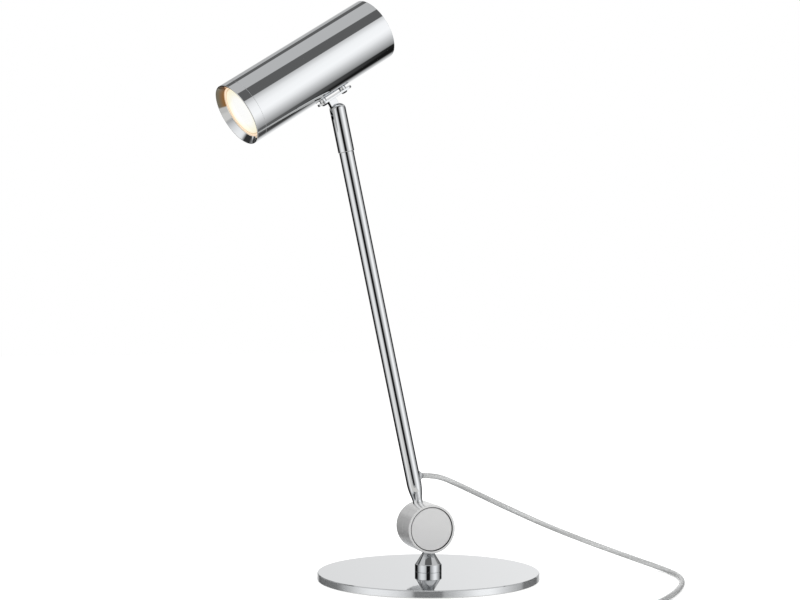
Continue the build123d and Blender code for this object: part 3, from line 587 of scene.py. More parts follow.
# %% Cord from the switch to the plug
SWITCH_L = 62.0
PLUG_CORD_L = 1152.0
COIL_MIDDLE = Vector((-94.0, -192.0))
COIL_START = math.radians(-108.0)
COIL_TURNS = 6
COIL_IN_R = 20.0
COIL_PITCH = 5.6
COIL_LAYER = 5.5
COIL_Z = 3.35
COIL_EASE = 0.15
COIL_CLIMB = 0.5
POINTS_A_TURN = 16
TAIL_RUN = 22.0
PLUG_RUN = 11.0
PLUG_TURN = math.radians(14.0)
PLUG_Z = 7.0


def coil_radius(turn):
    """The coil's radius after some turns, in millimetres."""
    return COIL_IN_R + COIL_PITCH * (math.hypot(turn - COIL_TURNS / 2, COIL_EASE) - COIL_EASE)


def coil_point(turn, widen=1.0):
    """A point of the coil after some turns, in millimetres."""
    angle = COIL_START - 2 * math.pi * turn
    climb = min(max((turn - COIL_TURNS / 2) / COIL_CLIMB + 0.5, 0), 1)
    height = COIL_Z + COIL_LAYER * climb * climb * (3 - 2 * climb)
    spread = widen * coil_radius(turn) * Vector((math.cos(angle), math.sin(angle)))
    return Vector((*(COIL_MIDDLE + spread), height))


def coil_heading(turn):
    """The coil's direction after some turns."""
    return (coil_point(turn + 0.0001) - coil_point(turn - 0.0001)).normalized()


switch_start = Vector(LAMP_ROUTE[-1])
switch_way = (switch_start - Vector(LAMP_ROUTE[-2])).normalized()
switch_end = switch_start + switch_way * SWITCH_L
coil_in = coil_point(0) - coil_heading(0) * 2 * CORD_R
coil_out = coil_point(COIL_TURNS) + coil_heading(COIL_TURNS) * 2 * CORD_R
plug_way = Matrix.Rotation(PLUG_TURN, 3, "Z") @ coil_heading(COIL_TURNS)
plug_way = Vector((plug_way.x, plug_way.y, 0)).normalized()
end_near = coil_out + coil_heading(COIL_TURNS) * PLUG_RUN
end_far = end_near + plug_way * PLUG_RUN
end_far.z = PLUG_Z
plug_start = end_far + plug_way * PLUG_RUN
widen = 1 / (0.75 + 0.25 * math.cos(2 * math.pi / POINTS_A_TURN))
coil_points = [coil_point(step / POINTS_A_TURN, widen) for step in range(COIL_TURNS * POINTS_A_TURN + 1)]
plug_route = [switch_end, switch_end + switch_way * TAIL_RUN, coil_in - coil_heading(0) * TAIL_RUN, coil_in]
plug_route += coil_points + [coil_out, end_near, end_far, plug_start]
plug_jacket = jacket_material("milky_clear_pvc_over_twisted_cores_tail", PLUG_CORD_L)
plug_cord, plug_path = cord_piece("plug_cord", plug_route, plug_jacket)
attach(plug_cord, "base")
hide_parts("cord_tail", "cord_coil", "cord_end")

# %% [markdown]
# The base plate is a heavy disc with a shallow recess below for its foam pad. Its upper rim has a small
# flat chamfer, which mirrors the dark ceiling and so draws a fine dark line along the front of the disc.
# The post is turned from bar, with an eased shoulder under its cone, and screwed on from below. The pad
# is a thin foam disc that keeps the plate from scratching a desk.

# %% Base plate, pad and post
PLATE_LOW = 0.5
PLATE_TOP = 6.9
PLATE_STEPS = 320
RIM_CHAMFER = 0.7
PAD_R = 95.0
PAD_TOP = 0.9
RECESS_R = PAD_R + 0.05
POST_R = 12.2
POST_TIP_R = 5.2
POST_TOP = 30.9
SHOULDER_UP = 13.4
SHOULDER_EASE = 1.0
CONE_TOP = 23.9


def plain_round(radius, low, high, at, **options):
    """A plain round piece between two heights."""
    return turned([(0, low), (radius, low), (radius, high), (0, high)], at, **options)


plate = turned(
    [(0, PAD_TOP), (RECESS_R, PAD_TOP), (RECESS_R, PLATE_LOW), (PLATE_R, PLATE_LOW, 0.5),
     (PLATE_R, PLATE_TOP - RIM_CHAMFER), (PLATE_R - RIM_CHAMFER, PLATE_TOP), (0, PLATE_TOP)],
    TABLE_AT, edge=0.08, steps=PLATE_STEPS,
)
add_piece("polished_base_plate", plate, "chrome_edge", "base", "base_plate")
add_piece("foam_pad", plain_round(PAD_R, 0, PAD_TOP, TABLE_AT, edge=0.3), "pad", "base", "base_pad")
post = turned(
    [(0, PLATE_TOP), (POST_R, PLATE_TOP), (POST_R, SHOULDER_UP),
     (POST_R - SHOULDER_EASE, SHOULDER_UP + SHOULDER_EASE), (POST_TIP_R, CONE_TOP), (POST_TIP_R, POST_TOP),
     (0, POST_TOP)],
    TABLE_AT, edge=0.25,
)
add_piece("turned_post", post, "chrome", "base", "post")

# %% [markdown]
# The pivot drum is two cups face to face with a friction disc between them. Each has a raised rim round
# a bare cover disc, with a narrow dark gap between the two. The cups are turned with their real pockets
# for the bolt and nut inside, and where they meet the edges are kept crisp, so that the joint is one line.

# %% Pivot drum
CRISP = 0.08
RIM_EASE = 0.4
RIM_H = 2.0
COVER_T = 1.2
FRONT_SEAT = -7.95
REAR_SEAT = 23.95
BOLT_R = 4.05
BOLT_HEAD_R = 7.05
BOLT_SEAT = -3.8
NUT_R = 8.6
NUT_SEAT = 13.8
FRICTION_R = 15.05
FRICTION_FRONT = 7.25
FRICTION_REAR = 8.8
FRONT_JOINT = 7.85
REAR_JOINT = 8.15
front_cup = turned(
    [(BOLT_R, BOLT_SEAT), (BOLT_HEAD_R, BOLT_SEAT), (BOLT_HEAD_R, FRONT_SEAT), (RIM_R, FRONT_SEAT),
     (RIM_R, FRONT_SEAT - RIM_H), (DRUM_R, FRONT_SEAT - RIM_H, RIM_EASE), (DRUM_R, FRONT_JOINT, CRISP),
     (FRICTION_R, FRONT_JOINT), (FRICTION_R, FRICTION_FRONT), (BOLT_R, FRICTION_FRONT)],
    DRUM_AT, edge=0.2,
)
add_piece("drum_front_cup", front_cup, "satin_steel", "base", "drum_front")
rear_cup = turned(
    [(BOLT_R, FRICTION_REAR), (FRICTION_R, FRICTION_REAR), (FRICTION_R, REAR_JOINT),
     (DRUM_R, REAR_JOINT, CRISP), (DRUM_R, REAR_SEAT + RIM_H, RIM_EASE), (RIM_R, REAR_SEAT + RIM_H),
     (RIM_R, REAR_SEAT), (NUT_R, REAR_SEAT), (NUT_R, NUT_SEAT), (BOLT_R, NUT_SEAT)],
    DRUM_AT, edge=0.2,
)
add_piece("drum_rear_cup", rear_cup, "satin_steel", "arm", "drum_rear")
for name, body, node, low in (
    ("front_cover_disc", "base", "front_disc", FRONT_SEAT - COVER_T),
    ("rear_cover_disc", "arm", "rear_disc", REAR_SEAT),
):
    add_piece(name, plain_round(COVER_R, low, low + COVER_T, DRUM_AT, edge=0.35), "disc_steel", body, node)

# %% [markdown]
# The rod is a chromed tube whose lower end is swaged to a thinner neck. The swage is a soft S-curve, so
# its outline follows a smooth step from the neck's radius to the rod's. The grommet is a small clear
# button that fills the cord hole: it rises from the rod in a low cone and closes round the cord.

# %% Rod and cord grommet
ROD_R = 6.75
ROD_BORE_R = 5.75
ROD_LOW = 12.5
ROD_TOP = 345.75
NECK_R = 4.5
SWAGE_LOW = 23.8
SWAGE_L = 15.9
SWAGE_EASE = 0.72
SWAGE_STEPS = 20
GROMMET_OUTLINE = (
    (0, 3.7), (3.4, 3.7), (3.4, 5.6), (4.6, 5.9), (4.35, 6.8), (3.8, 7.5), (3.2, 8.2), (2.75, 8.8),
    (2.45, 8.95), (0, 8.9),
)
rod_outline = [(0, ROD_LOW), (NECK_R, ROD_LOW)]
for step in range(SWAGE_STEPS + 1):
    share = (step / SWAGE_STEPS) ** SWAGE_EASE
    radius = NECK_R + (ROD_R - NECK_R) * share * share * (3 - 2 * share)
    rod_outline.append((radius, SWAGE_LOW + SWAGE_L * step / SWAGE_STEPS))
bore_low = SWAGE_LOW + SWAGE_L
rod_outline += [(ROD_R, ROD_TOP), (ROD_BORE_R, ROD_TOP), (ROD_BORE_R, bore_low), (0, bore_low)]
rod = turned(rod_outline, ROD_AT, edge=0.15, sharp=30.0)
add_piece("chromed_rod", rod, "chrome", "arm", "arm_rod")
grommet = turned(GROMMET_OUTLINE, GLAND_AT, edge=0.15, steps=64)
add_piece("cord_grommet", grommet, "grommet", "arm", "cord_gland")

# %% [markdown]
# The head is a plain chromed tube. A bezel ring with a polished inner cone closes the front and a flush
# cap the back, each with a fine seam where two rounded edges meet. The lens has a fine moulded ring near
# its edge, and its face is very slightly domed.

# %% Head tube, bezel, cap and lens
HEAD_R = 28.8
HEAD_L = 159.6
TUBE_BORE_R = 27.6
TUBE_STEPS = 256
BEZEL_L = 9.6
SPIGOT_R = 27.55
SPIGOT_END = 13.5
LENS_SEAT_R = 25.05
LENS_SEAT = 6.3
CONE_END_R = 24.0
CAP_R = 27.5
CAP_BORE_R = 26.1
CAP_END = 151.6
CAP_T = 2.0
CAP_GROOVE = 0.5
tube = turned(
    [(TUBE_BORE_R, BEZEL_L), (HEAD_R, BEZEL_L), (HEAD_R, HEAD_L), (TUBE_BORE_R, HEAD_L)],
    FRONT_AT, edge=0.18, steps=TUBE_STEPS,
)
add_piece("head_tube_chromed", tube, "chrome", "head", "head_tube")
bezel = turned(
    [(28.0, 0), (28.5, 0), (HEAD_R, 0.3), (HEAD_R, BEZEL_L), (SPIGOT_R, BEZEL_L), (SPIGOT_R, SPIGOT_END),
     (LENS_SEAT_R, SPIGOT_END), (LENS_SEAT_R, LENS_SEAT), (CONE_END_R, LENS_SEAT), (CONE_END_R, 5.5)],
    FRONT_AT, edge=0.15, steps=TUBE_STEPS,
)
add_piece("bezel_chromed", bezel, "chrome_lens_reflection_painted", "head", "bezel_ring")
cap = turned(
    [(0, HEAD_L), (24.4, HEAD_L), (24.6, HEAD_L - CAP_GROOVE), (25.2, HEAD_L - CAP_GROOVE), (25.4, HEAD_L),
     (CAP_R, HEAD_L), (CAP_R, CAP_END), (CAP_BORE_R, CAP_END), (CAP_BORE_R, HEAD_L - CAP_T),
     (0, HEAD_L - CAP_T)],
    FRONT_AT, edge=0.12, steps=TUBE_STEPS,
)
add_piece("rear_cap_chromed", cap, "chrome", "head", "rear_cap")
lens = turned(
    [(0, 6.4), (10, 6.45), (20.8, 6.75), (21.4, 7.05), (21.9, 6.75), (22.4, 6.6), (LENS_R, 6.6),
     (LENS_R, 7.8), (0, 7.8)],
    FRONT_AT, edge=0.2, sharp=12.0,
)
add_piece("bulb_lens_lit", lens, "lens", "head", "bulb_lens")

# %% [markdown]
# Pieces that are not round are cut from simple shapes. A block starts as a cube and an oblong as a circle
# whose halves are moved apart. Holes and slots are cut as a milling cutter would, with a Boolean modifier
# whose result is read back, and the fresh edges are rounded afterwards.

# %% Helpers for cut pieces


def block(low, high):
    """A box between two corners in millimetres."""
    bm = bmesh.new()
    low, high = Vector(low) * MM, Vector(high) * MM
    stretch = Matrix.Diagonal((*(high - low), 1.0))
    bmesh.ops.create_cube(bm, size=1.0, matrix=Matrix.Translation((low + high) / 2) @ stretch)
    return bm


def vertices_of(geometry):
    """The vertices among the geometry that an operator gives back."""
    return [part for part in geometry if isinstance(part, bmesh.types.BMVert)]


def raised(bm, way):
    """Pulls a flat face up into a solid."""
    top = bmesh.ops.extrude_face_region(bm, geom=bm.faces[:])["geom"]
    bmesh.ops.translate(bm, verts=vertices_of(top), vec=Vector(way) * MM)
    bmesh.ops.recalc_face_normals(bm, faces=bm.faces)
    return bm


def slab(outline, way):
    """A solid with a flat outline of points in millimetres, pulled along a direction."""
    bm = bmesh.new()
    corners = [bm.verts.new(Vector(point) * MM) for point in outline]
    bmesh.ops.contextual_create(bm, geom=corners)
    return raised(bm, way)


def fitted(bm, operation, *others):
    """Cuts other shapes out of a piece, or joins them to it."""
    holders = [bpy.data.objects.new("shape", mesh_of(shape)) for shape in (bm, *others)]
    for holder in holders:
        scene.collection.objects.link(holder)
    for other in holders[1:]:
        fit = holders[0].modifiers.new("fit", "BOOLEAN")
        fit.operation = operation
        fit.solver = "EXACT"
        fit.object = other
    bpy.context.view_layer.update()
    result = bmesh.new()
    result.from_object(holders[0], bpy.context.evaluated_depsgraph_get())
    for holder in holders:
        mesh = holder.data
        bpy.data.objects.remove(holder)
        bpy.data.meshes.remove(mesh)
    bmesh.ops.remove_doubles(result, verts=result.verts, dist=WELD)
    return result


def joined(*shapes):
    """Puts several shapes into one mesh."""
    whole = bmesh.new()
    for shape in shapes:
        mesh = mesh_of(shape)
        whole.from_mesh(mesh)
        bpy.data.meshes.remove(mesh)
    return whole


# %% [markdown]
# The knuckle is a bar with a domed end, turned first and then slotted from the front for the head's
# tongue. Its foot has a short skirt round the top of the swivel's bush. The hinge pin goes in from the
# back into a blind hole, so the near side stays a clean mirror.

# %% Knuckle
KNUCKLE_R = 7.4
KNUCKLE_LOW = 345.9
KNUCKLE_TOP = 389.95
BUSH_TOP = 347.35
BUSH_ROOM = 5.85
LEAD_BORE_R = 1.8
STEM_R = 4.4
STEM_LOW = BUSH_TOP - 20
SKIRT_EASE = 0.3
DOME_R = 5.0
DOME_STEPS = 14
SLOT_LOW = 376.35
SLOT_BACK = 5.3
SLOT_HALF_W = 2.5
PIN_HOLE_R = 2.05
PIN_HOLE_L = 12
knuckle_outline = [
    (LEAD_BORE_R, STEM_LOW), (STEM_R, STEM_LOW), (STEM_R, BUSH_TOP), (BUSH_ROOM, BUSH_TOP),
    (BUSH_ROOM, KNUCKLE_LOW), (KNUCKLE_R - SKIRT_EASE, KNUCKLE_LOW), (KNUCKLE_R, KNUCKLE_LOW + SKIRT_EASE),
]
for step in range(DOME_STEPS + 1):
    angle = math.pi / 2 * step / DOME_STEPS
    knuckle_outline.append(
        (KNUCKLE_R + DOME_R * (math.cos(angle) - 1), KNUCKLE_TOP + DOME_R * (math.sin(angle) - 1))
    )
knuckle_outline.append((LEAD_BORE_R, KNUCKLE_TOP))
knuckle = turned(knuckle_outline, TABLE_AT, edge=0.12, steps=128)
slot = block((-10, -SLOT_HALF_W, SLOT_LOW), (SLOT_BACK, SLOT_HALF_W, KNUCKLE_TOP + 2))
hinge_at = frame_at((0, 0, HINGE_UP), X_WAY, Y_WAY)
pin_hole = plain_round(PIN_HOLE_R, 0, PIN_HOLE_L, hinge_at, edge=0, steps=48)
knuckle = fitted(knuckle, "DIFFERENCE", slot, pin_hole)
bevel(knuckle, sharp_edges(knuckle, 40), 0.12, segments=2)
add_piece("slotted_knuckle", placed(knuckle, KNUCKLE_AT), "chrome", "knuckle", "knuckle")

# %% [markdown]
# The bracket under the head is an oblong plate with a tongue welded to it, which hangs in the knuckle's
# slot. Two slotted pan-head screws go up through it. The tongue's round end is the circle whose upper
# half is pulled up to the plate.

# %% Bracket and its screws
BRACKET_LOW = 13.3
BRACKET_T = 2.0
BRACKET_HALF_W = 6.0
BRACKET_FRONT = 14.1
BRACKET_BACK = 23.5
TONGUE_R = 4.0
TONGUE_HALF_T = 2.35
WELD_DEPTH = 0.5
SCREW_PLACES = (-7.6, 15.4)
SCREW_HEAD_R = 2.8
SCREW_HEAD_T = 1.8
SCREW_R = 1.5
SCREW_TOP = 21.1
SCREW_SLOT_DEPTH = 0.8
SCREW_SLOT_HALF_W = 0.4
bracket = bmesh.new()
bmesh.ops.create_circle(bracket, cap_ends=True, segments=64, radius=BRACKET_HALF_W * MM)
for vertex in bracket.verts:
    if abs(vertex.co.x) > 0.01 * MM:
        ahead = vertex.co.x < 0
        vertex.co.x += (BRACKET_HALF_W - BRACKET_FRONT if ahead else BRACKET_BACK - BRACKET_HALF_W) * MM
    vertex.co.z = BRACKET_LOW * MM
raised(bracket, (0, 0, BRACKET_T))
tongue = bmesh.new()
bmesh.ops.create_circle(tongue, cap_ends=True, segments=48, radius=TONGUE_R * MM)
for vertex in tongue.verts:
    up = vertex.co.y
    vertex.co = (vertex.co.x, -TONGUE_HALF_T * MM, (BRACKET_LOW + WELD_DEPTH) * MM if up > 0.01 * MM else up)
raised(tongue, (0, 2 * TONGUE_HALF_T, 0))
tongue_hole = plain_round(PIN_HOLE_R, -5, 5, frame_at((0, 0, 0), X_WAY, Y_WAY), edge=0, steps=48)
bracket = fitted(fitted(bracket, "UNION", tongue), "DIFFERENCE", tongue_hole)
bevel(bracket, sharp_edges(bracket, 40), 0.25)
add_piece("head_bracket_welded", placed(bracket, HEAD_AT), "chrome", "head", "head_bracket")

screws = []
for place in SCREW_PLACES:
    low = BRACKET_LOW - SCREW_HEAD_T
    screw = turned(
        [(0, low), (1.7, low + 0.05), (2.4, low + 0.3), (SCREW_HEAD_R, low + 0.8),
         (SCREW_HEAD_R, BRACKET_LOW), (SCREW_R, BRACKET_LOW), (SCREW_R, SCREW_TOP), (0, SCREW_TOP)],
        TABLE_AT, edge=0.1, steps=48, sharp=35.0,
    )
    screw_slot = block((-4, -SCREW_SLOT_HALF_W, low - 1), (4, SCREW_SLOT_HALF_W, low + SCREW_SLOT_DEPTH))
    screw = fitted(screw, "DIFFERENCE", screw_slot)
    screws.append(placed(screw, Matrix.Translation((place * MM, 0, 0))))
add_piece("bracket_screws_slotted", placed(joined(*screws), HEAD_AT), "black_zinc", "head", "bracket_screws")

# %% [markdown]
# The inline switch is two moulded shells that meet at the cord's height, with a rocker between them. A
# shell starts as a block: its upright corners are rounded first, then its outer edges, and last the
# joint's edges, by only a little, so that they make a fine seam.

# %% Switch shells and rocker
SWITCH_HALF_W = 13.0
SWITCH_H = 15.0
SWITCH_CORNER = 6.0
SWITCH_EDGE = 1.5
SWITCH_SEAM = 0.2
CORD_Z = 7.5
ROOM_HALF_L = 10.7
ROOM_HALF_W = 5.15
ROOM_LOW = 3.5
ROCKER_UP = 11.5
ROCKER_HALF_W = 5.0
ROCKER_TILT = math.radians(7.0)
ROCKER_OUTLINE = (
    (-7.5, -2.4), (7.5, -2.4), (10, 1.2), (10, 4.4), (5, 3.5), (0, 3.2), (-5, 3.5), (-10, 4.4), (-10, 1.2)
)
SWITCH_AT = frame_at((switch_start.x, switch_start.y, 0), switch_way, Z_WAY)


def upright_edges(bm):
    """The edges whose ends stand at different heights."""
    return [edge for edge in bm.edges if abs(edge.verts[0].co.z - edge.verts[1].co.z) > 0.5 * MM]


def edges_at(bm, height):
    """The sharp edges that lie at a height in millimetres."""
    level = {vertex for vertex in bm.verts if abs(vertex.co.z - height * MM) < 0.01 * MM}
    return [edge for edge in sharp_edges(bm, 40) if level.issuperset(edge.verts)]


middle = SWITCH_L / 2
for name, node, low, high, outer in (
    ("switch_lower_shell", "switch_lower", 0.0, CORD_Z, 0.0),
    ("switch_upper_shell", "switch_upper", CORD_Z, SWITCH_H, SWITCH_H),
):
    shell = block((0, -SWITCH_HALF_W, low), (SWITCH_L, SWITCH_HALF_W, high))
    bevel(shell, upright_edges(shell), SWITCH_CORNER, segments=10)
    for height, width in ((outer, SWITCH_EDGE), (CORD_Z, SWITCH_SEAM)):
        bevel(shell, edges_at(shell, height), width, segments=5)
    room = block(
        (middle - ROOM_HALF_L, -ROOM_HALF_W, ROOM_LOW), (middle + ROOM_HALF_L, ROOM_HALF_W, SWITCH_H + 2)
    )
    shell = fitted(shell, "DIFFERENCE", room)
    add_piece(name, placed(shell, SWITCH_AT), "switch_plastic", "base", node)
rocker = slab([(along, -ROCKER_HALF_W, up) for along, up in ROCKER_OUTLINE], (0, 2 * ROCKER_HALF_W, 0))
bevel(rocker, sharp_edges(rocker, 30), 0.45)
rocker_turn = Matrix.Translation((middle * MM, 0, ROCKER_UP * MM)) @ Matrix.Rotation(-ROCKER_TILT, 4, "Y")
rocker = placed(rocker, SWITCH_AT @ rocker_turn)
add_piece("switch_rocker_dished", rocker, "rocker_plastic", "rocker", "switch_rocker")

# %% [markdown]
# Where the cord goes into the switch and the plug, a soft ribbed sleeve keeps it from kinking. Each is
# turned straight, with its ribs in its outline, and is then bent along the cord: a point at some distance
# along the sleeve moves by as much as the cord's own middle line has left the straight line there.

# %% Sleeves on the switch
SLEEVE_RIBS = 5
SLEEVE_PITCH = 3.8
SLEEVE_BORE_R = CORD_R + 0.05


def ribbed_outline(start_r, end_r, low):
    """The half outline of a tapered sleeve with ribs."""
    outline = [(SLEEVE_BORE_R, low - 1.5), (start_r, low - 1.5)]
    for rib in range(SLEEVE_RIBS):
        radius = start_r + (end_r - start_r) * rib / SLEEVE_RIBS
        foot = low + rib * SLEEVE_PITCH
        outline += [(radius, foot + 2.3), (radius - 0.7, foot + 2.6), (radius - 0.75, foot + 3.4)]
        outline.append((start_r + (end_r - start_r) * (rib + 1) / SLEEVE_RIBS, foot + SLEEVE_PITCH))
    high = low + SLEEVE_RIBS * SLEEVE_PITCH
    return outline + [(end_r, high + 1.2), (SLEEVE_BORE_R, high + 1.2)]


def along_cord(bm, path):
    """Bends a straight sleeve that starts at a path's first point along that path."""
    start, way = Vector(path[0]), (Vector(path[1]) - Vector(path[0])).normalized()
    for vertex in bm.verts:
        reach = left = (vertex.co - start).dot(way)
        if reach > 0:
            for here, there in zip(path, path[1:]):
                run = Vector(there) - Vector(here)
                if left <= run.length:
                    break
                left -= run.length
            vertex.co += Vector(here) + run.normalized() * left - start - way * reach
    return bm


sleeves = []
for start, way, path in ((switch_start, -switch_way, lamp_path[::-1]), (switch_end, switch_way, plug_path)):
    sleeve = turned(ribbed_outline(4.9, 3.4, 0.0), frame_at(start, Z_WAY, way), edge=0.2, steps=64)
    sleeves.append(along_cord(sleeve, path))
add_piece("switch_cord_sleeves", joined(*sleeves), "grommet", "base")

# %% [markdown]
# The plug is one soft moulding: a flat body with shoulders to grip, a ribbed collar, and two round pins
# that are insulated for half of their length. The body's outline is pulled up into a slab and rounded.

# %% Plug
PLUG_HALF_H = 7.0
PLUG_FACE = 48.0
PIN_HALF_GAP = 9.3
GUARD_IN_R = 1.9
GUARD_R = 2.12
PLUG_OUTLINE = ((14, -4.5), (22, -4.5), (34, -13), (48, -13), (48, 13), (34, 13), (22, 4.5), (14, 4.5))
PLUG_AT = frame_at(plug_start, plug_way, Z_WAY)
plug = slab([(along, across, -PLUG_HALF_H) for along, across in PLUG_OUTLINE], (0, 0, 2 * PLUG_HALF_H))
bevel(plug, upright_edges(plug), 2.0, segments=6)
rims = [e for e in sharp_edges(plug, 60) if abs(e.verts[0].co.z - e.verts[1].co.z) < 0.01 * MM]
bevel(plug, rims, 1.6, segments=5)
collar = turned(ribbed_outline(4.2, 3.0, -12.0), frame_at((0, 0, 0), Z_WAY, (-1, 0, 0)), edge=0.2, steps=64)
guards = [
    turned(
        [(GUARD_IN_R, PLUG_FACE - 1), (GUARD_R, PLUG_FACE - 1), (GUARD_R, PLUG_FACE + 9.6),
         (GUARD_IN_R, PLUG_FACE + 9.8)],
        frame_at((0, side * PIN_HALF_GAP, 0), Z_WAY, X_WAY), edge=0.05, steps=48,
    )
    for side in (-1, 1)
]
collar = along_cord(placed(collar, PLUG_AT), plug_path[::-1])
plug = joined(placed(joined(plug, *guards), PLUG_AT), collar)
plug_piece = add_piece("plug_body_moulded", plug, "switch_plastic", "base", "plug_body")

# %% [markdown]
# The strap round the coil is a band 6 mm wide. A rectangle in its plane gets its corners rounded by a
# vertex bevel, its face is taken away, the edges that stay are pulled out to the band's width, and the
# band is given its thickness. A short free end lies flat on top, as a hook-and-loop strap has.

# %% Coil strap
STRAP_T = 0.7
STRAP_HALF_W = 3.0
STRAP_CORNER = 3.2
STRAP_EDGE = 0.2
strap_in = COIL_IN_R - CORD_R - 0.5 - STRAP_T
strap_out = coil_radius(0.75) + CORD_R + 0.4 + STRAP_T
strap_low = 0.1
strap_top = COIL_Z + COIL_LAYER + CORD_R + 0.15 + STRAP_T
STRAP_AT = frame_at((*COIL_MIDDLE, 0), (math.cos(STRAP_TURN), math.sin(STRAP_TURN), 0), Z_WAY)
strap = bmesh.new()
corners = [
    strap.verts.new(Vector((reach, -STRAP_HALF_W, height)) * MM)
    for reach, height in (
        (strap_in, strap_low), (strap_out, strap_low), (strap_out, strap_top), (strap_in, strap_top)
    )
]
bmesh.ops.contextual_create(strap, geom=corners)
bmesh.ops.bevel(
    strap, geom=corners, offset=STRAP_CORNER * MM, segments=10, profile=0.5, affect="VERTICES", material=-1
)
bmesh.ops.delete(strap, geom=strap.faces[:], context="FACES_ONLY")
pulled = bmesh.ops.extrude_edge_only(strap, edges=strap.edges[:])["geom"]
bmesh.ops.translate(strap, verts=vertices_of(pulled), vec=(0, 2 * STRAP_HALF_W * MM, 0))
bmesh.ops.recalc_face_normals(strap, faces=strap.faces)
hub = Vector(((strap_in + strap_out) / 2, 0, (strap_low + strap_top) / 2)) * MM
if sum((face.calc_center_median() - hub).dot(face.normal) for face in strap.faces) < 0:
    bmesh.ops.reverse_faces(strap, faces=strap.faces)
bmesh.ops.solidify(strap, geom=strap.faces[:], thickness=STRAP_T * MM)
bmesh.ops.recalc_face_normals(strap, faces=strap.faces)
bevel(strap, sharp_edges(strap, 50), STRAP_EDGE, segments=2)
free_end = block((strap_in + 6, -STRAP_HALF_W, strap_top), (strap_in + 17, STRAP_HALF_W, strap_top + STRAP_T))
bevel(free_end, upright_edges(free_end), 2.0, segments=6)
bevel(free_end, sharp_edges(free_end, 50), STRAP_EDGE, segments=2)
strap = placed(joined(strap, free_end), STRAP_AT)
strap_piece = add_piece("coil_strap_woven", strap, "tie", "base", "coil_tie")

# %% [markdown]
# The nodes that stay as they are get a finish by their slot in the record.

# %% Finishes of the CAD nodes that stay
dressed = []
for node, piece in nodes.items():
    if slot_of(node) in finishes:
        piece.data.materials[0] = finishes[slot_of(node)]
        dressed.append(node)
print("nodes with a finish", len(dressed), "without", sorted(set(nodes) - set(dressed)))

# %% [markdown]
# The start of the lamp cord and the middle lines of both cords are turned into lists of points.

[x * MM for x in LAMP_ROUTE[0]]
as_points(lamp_path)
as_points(plug_path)
print("cords declared", LAMP_CORD_L, PLUG_CORD_L)

# %% [markdown]
# The floor is plain white. It takes a soft shadow, and a little of its own light, seen by the camera
# alone, brings the rest of it up to the white of the background. Mirrors don't see it: they see the
# studio round it.

# %% Floor
FLOOR_GLOW = 0.42
FLOOR_HALF = 6.0
floor_white, tree, shader = new_material(
    "white_floor_paint", Base_Color=linear("#F2F2F2"), Roughness=0.9, Specular_IOR_Level=0.0,
    Emission_Color=(1, 1, 1, 1),
)
seen = add_node(tree, "LightPath", give="Is Camera Ray")
fill(shader, {"Emission Strength": add_node(tree, "Math", {0: seen, 1: FLOOR_GLOW}, operation="MULTIPLY")})
grid = bmesh.new()
bmesh.ops.create_grid(grid, x_segments=1, y_segments=1, size=FLOOR_HALF)
floor = bpy.data.objects.new("studio_floor", mesh_of(grid, "studio_floor"))
floor.data.materials.append(floor_white)
scene.collection.objects.link(floor)
floor.visible_glossy = False
print("floor", floor.name)

# %% [markdown]
# Polished metal shows only what stands round it, so the studio is the real finish of this lamp. The world
# paints it by direction. First come the measures of a direction: how far it is turned from the camera, to
# the right as plus and to the left as minus, how steep it is, also towards a ceiling that leans a little,
# and how far ahead and aside it goes for each step up.

# %% Directions in the studio
CEILING_LEAN = 0.08
UPWARD = Vector(Z_WAY)
world = bpy.data.worlds.new("white_studio")
scene.world = world
world.use_nodes = True
world.cycles.sampling_method = "NONE"
sky = world.node_tree
sky.nodes.clear()
way = add_node(sky, "TexCoord", give="Generated")
right, near, up, ceiling = (
    add_node(sky, "VectorMath", {0: way, 1: axis}, operation="DOT_PRODUCT")
    for axis in (VIEW_RIGHT, -VIEW_WAY, UPWARD, UPWARD - CEILING_LEAN * VIEW_WAY)
)
radians = add_node(sky, "Math", {0: right, 1: near}, operation="ARCTAN2")
around = add_node(sky, "Math", {0: radians, 1: 180 / math.pi}, operation="MULTIPLY")
turned_away = add_node(sky, "Math", {0: around}, operation="ABSOLUTE")
ahead = add_node(sky, "Math", {0: near, 1: up}, operation="DIVIDE")
sideways = add_node(sky, "Math", {0: right, 1: up}, operation="DIVIDE")
aside = add_node(sky, "Math", {0: sideways}, operation="ABSOLUTE")
print("directions", len(sky.nodes), "nodes")

# %% [markdown]
# Two tall soft boxes stand left and right of the camera, and the dark slot between them draws the black
# line down every upright rod. Black flags behind on both sides draw the dark outlines, and a pale
# backdrop fills the plate. These go round the lamp as stops of one ramp, in degrees. Higher up the boxes
# fade a little.

# %% Soft boxes, flags and backdrop
SIDE_STOPS = (
    (-180, 0.665), (-172, 0.60), (-160, 0.33), (-154, 0.006), (-110, 0.006), (-105, 0.07), (-97, 0.25),
    (-84, 0.50), (-73, 0.70), (-62, 0.83), (-52, 0.83), (-42, 0.78), (-33, 0.69), (-24, 0.52), (-17.5, 0.34),
    (-15, 0.01), (12.5, 0.01), (15, 0.26), (25, 0.42), (39, 0.67), (47, 0.83), (53, 0.92), (64, 0.95),
    (72, 0.83), (82, 0.62), (94, 0.43), (110, 0.24), (114, 0.008), (147, 0.008), (154, 0.32), (173, 0.74),
    (180, 0.665),
)


def grey(tone):
    """A linear grey with its alpha."""
    return tone, tone, tone, 1


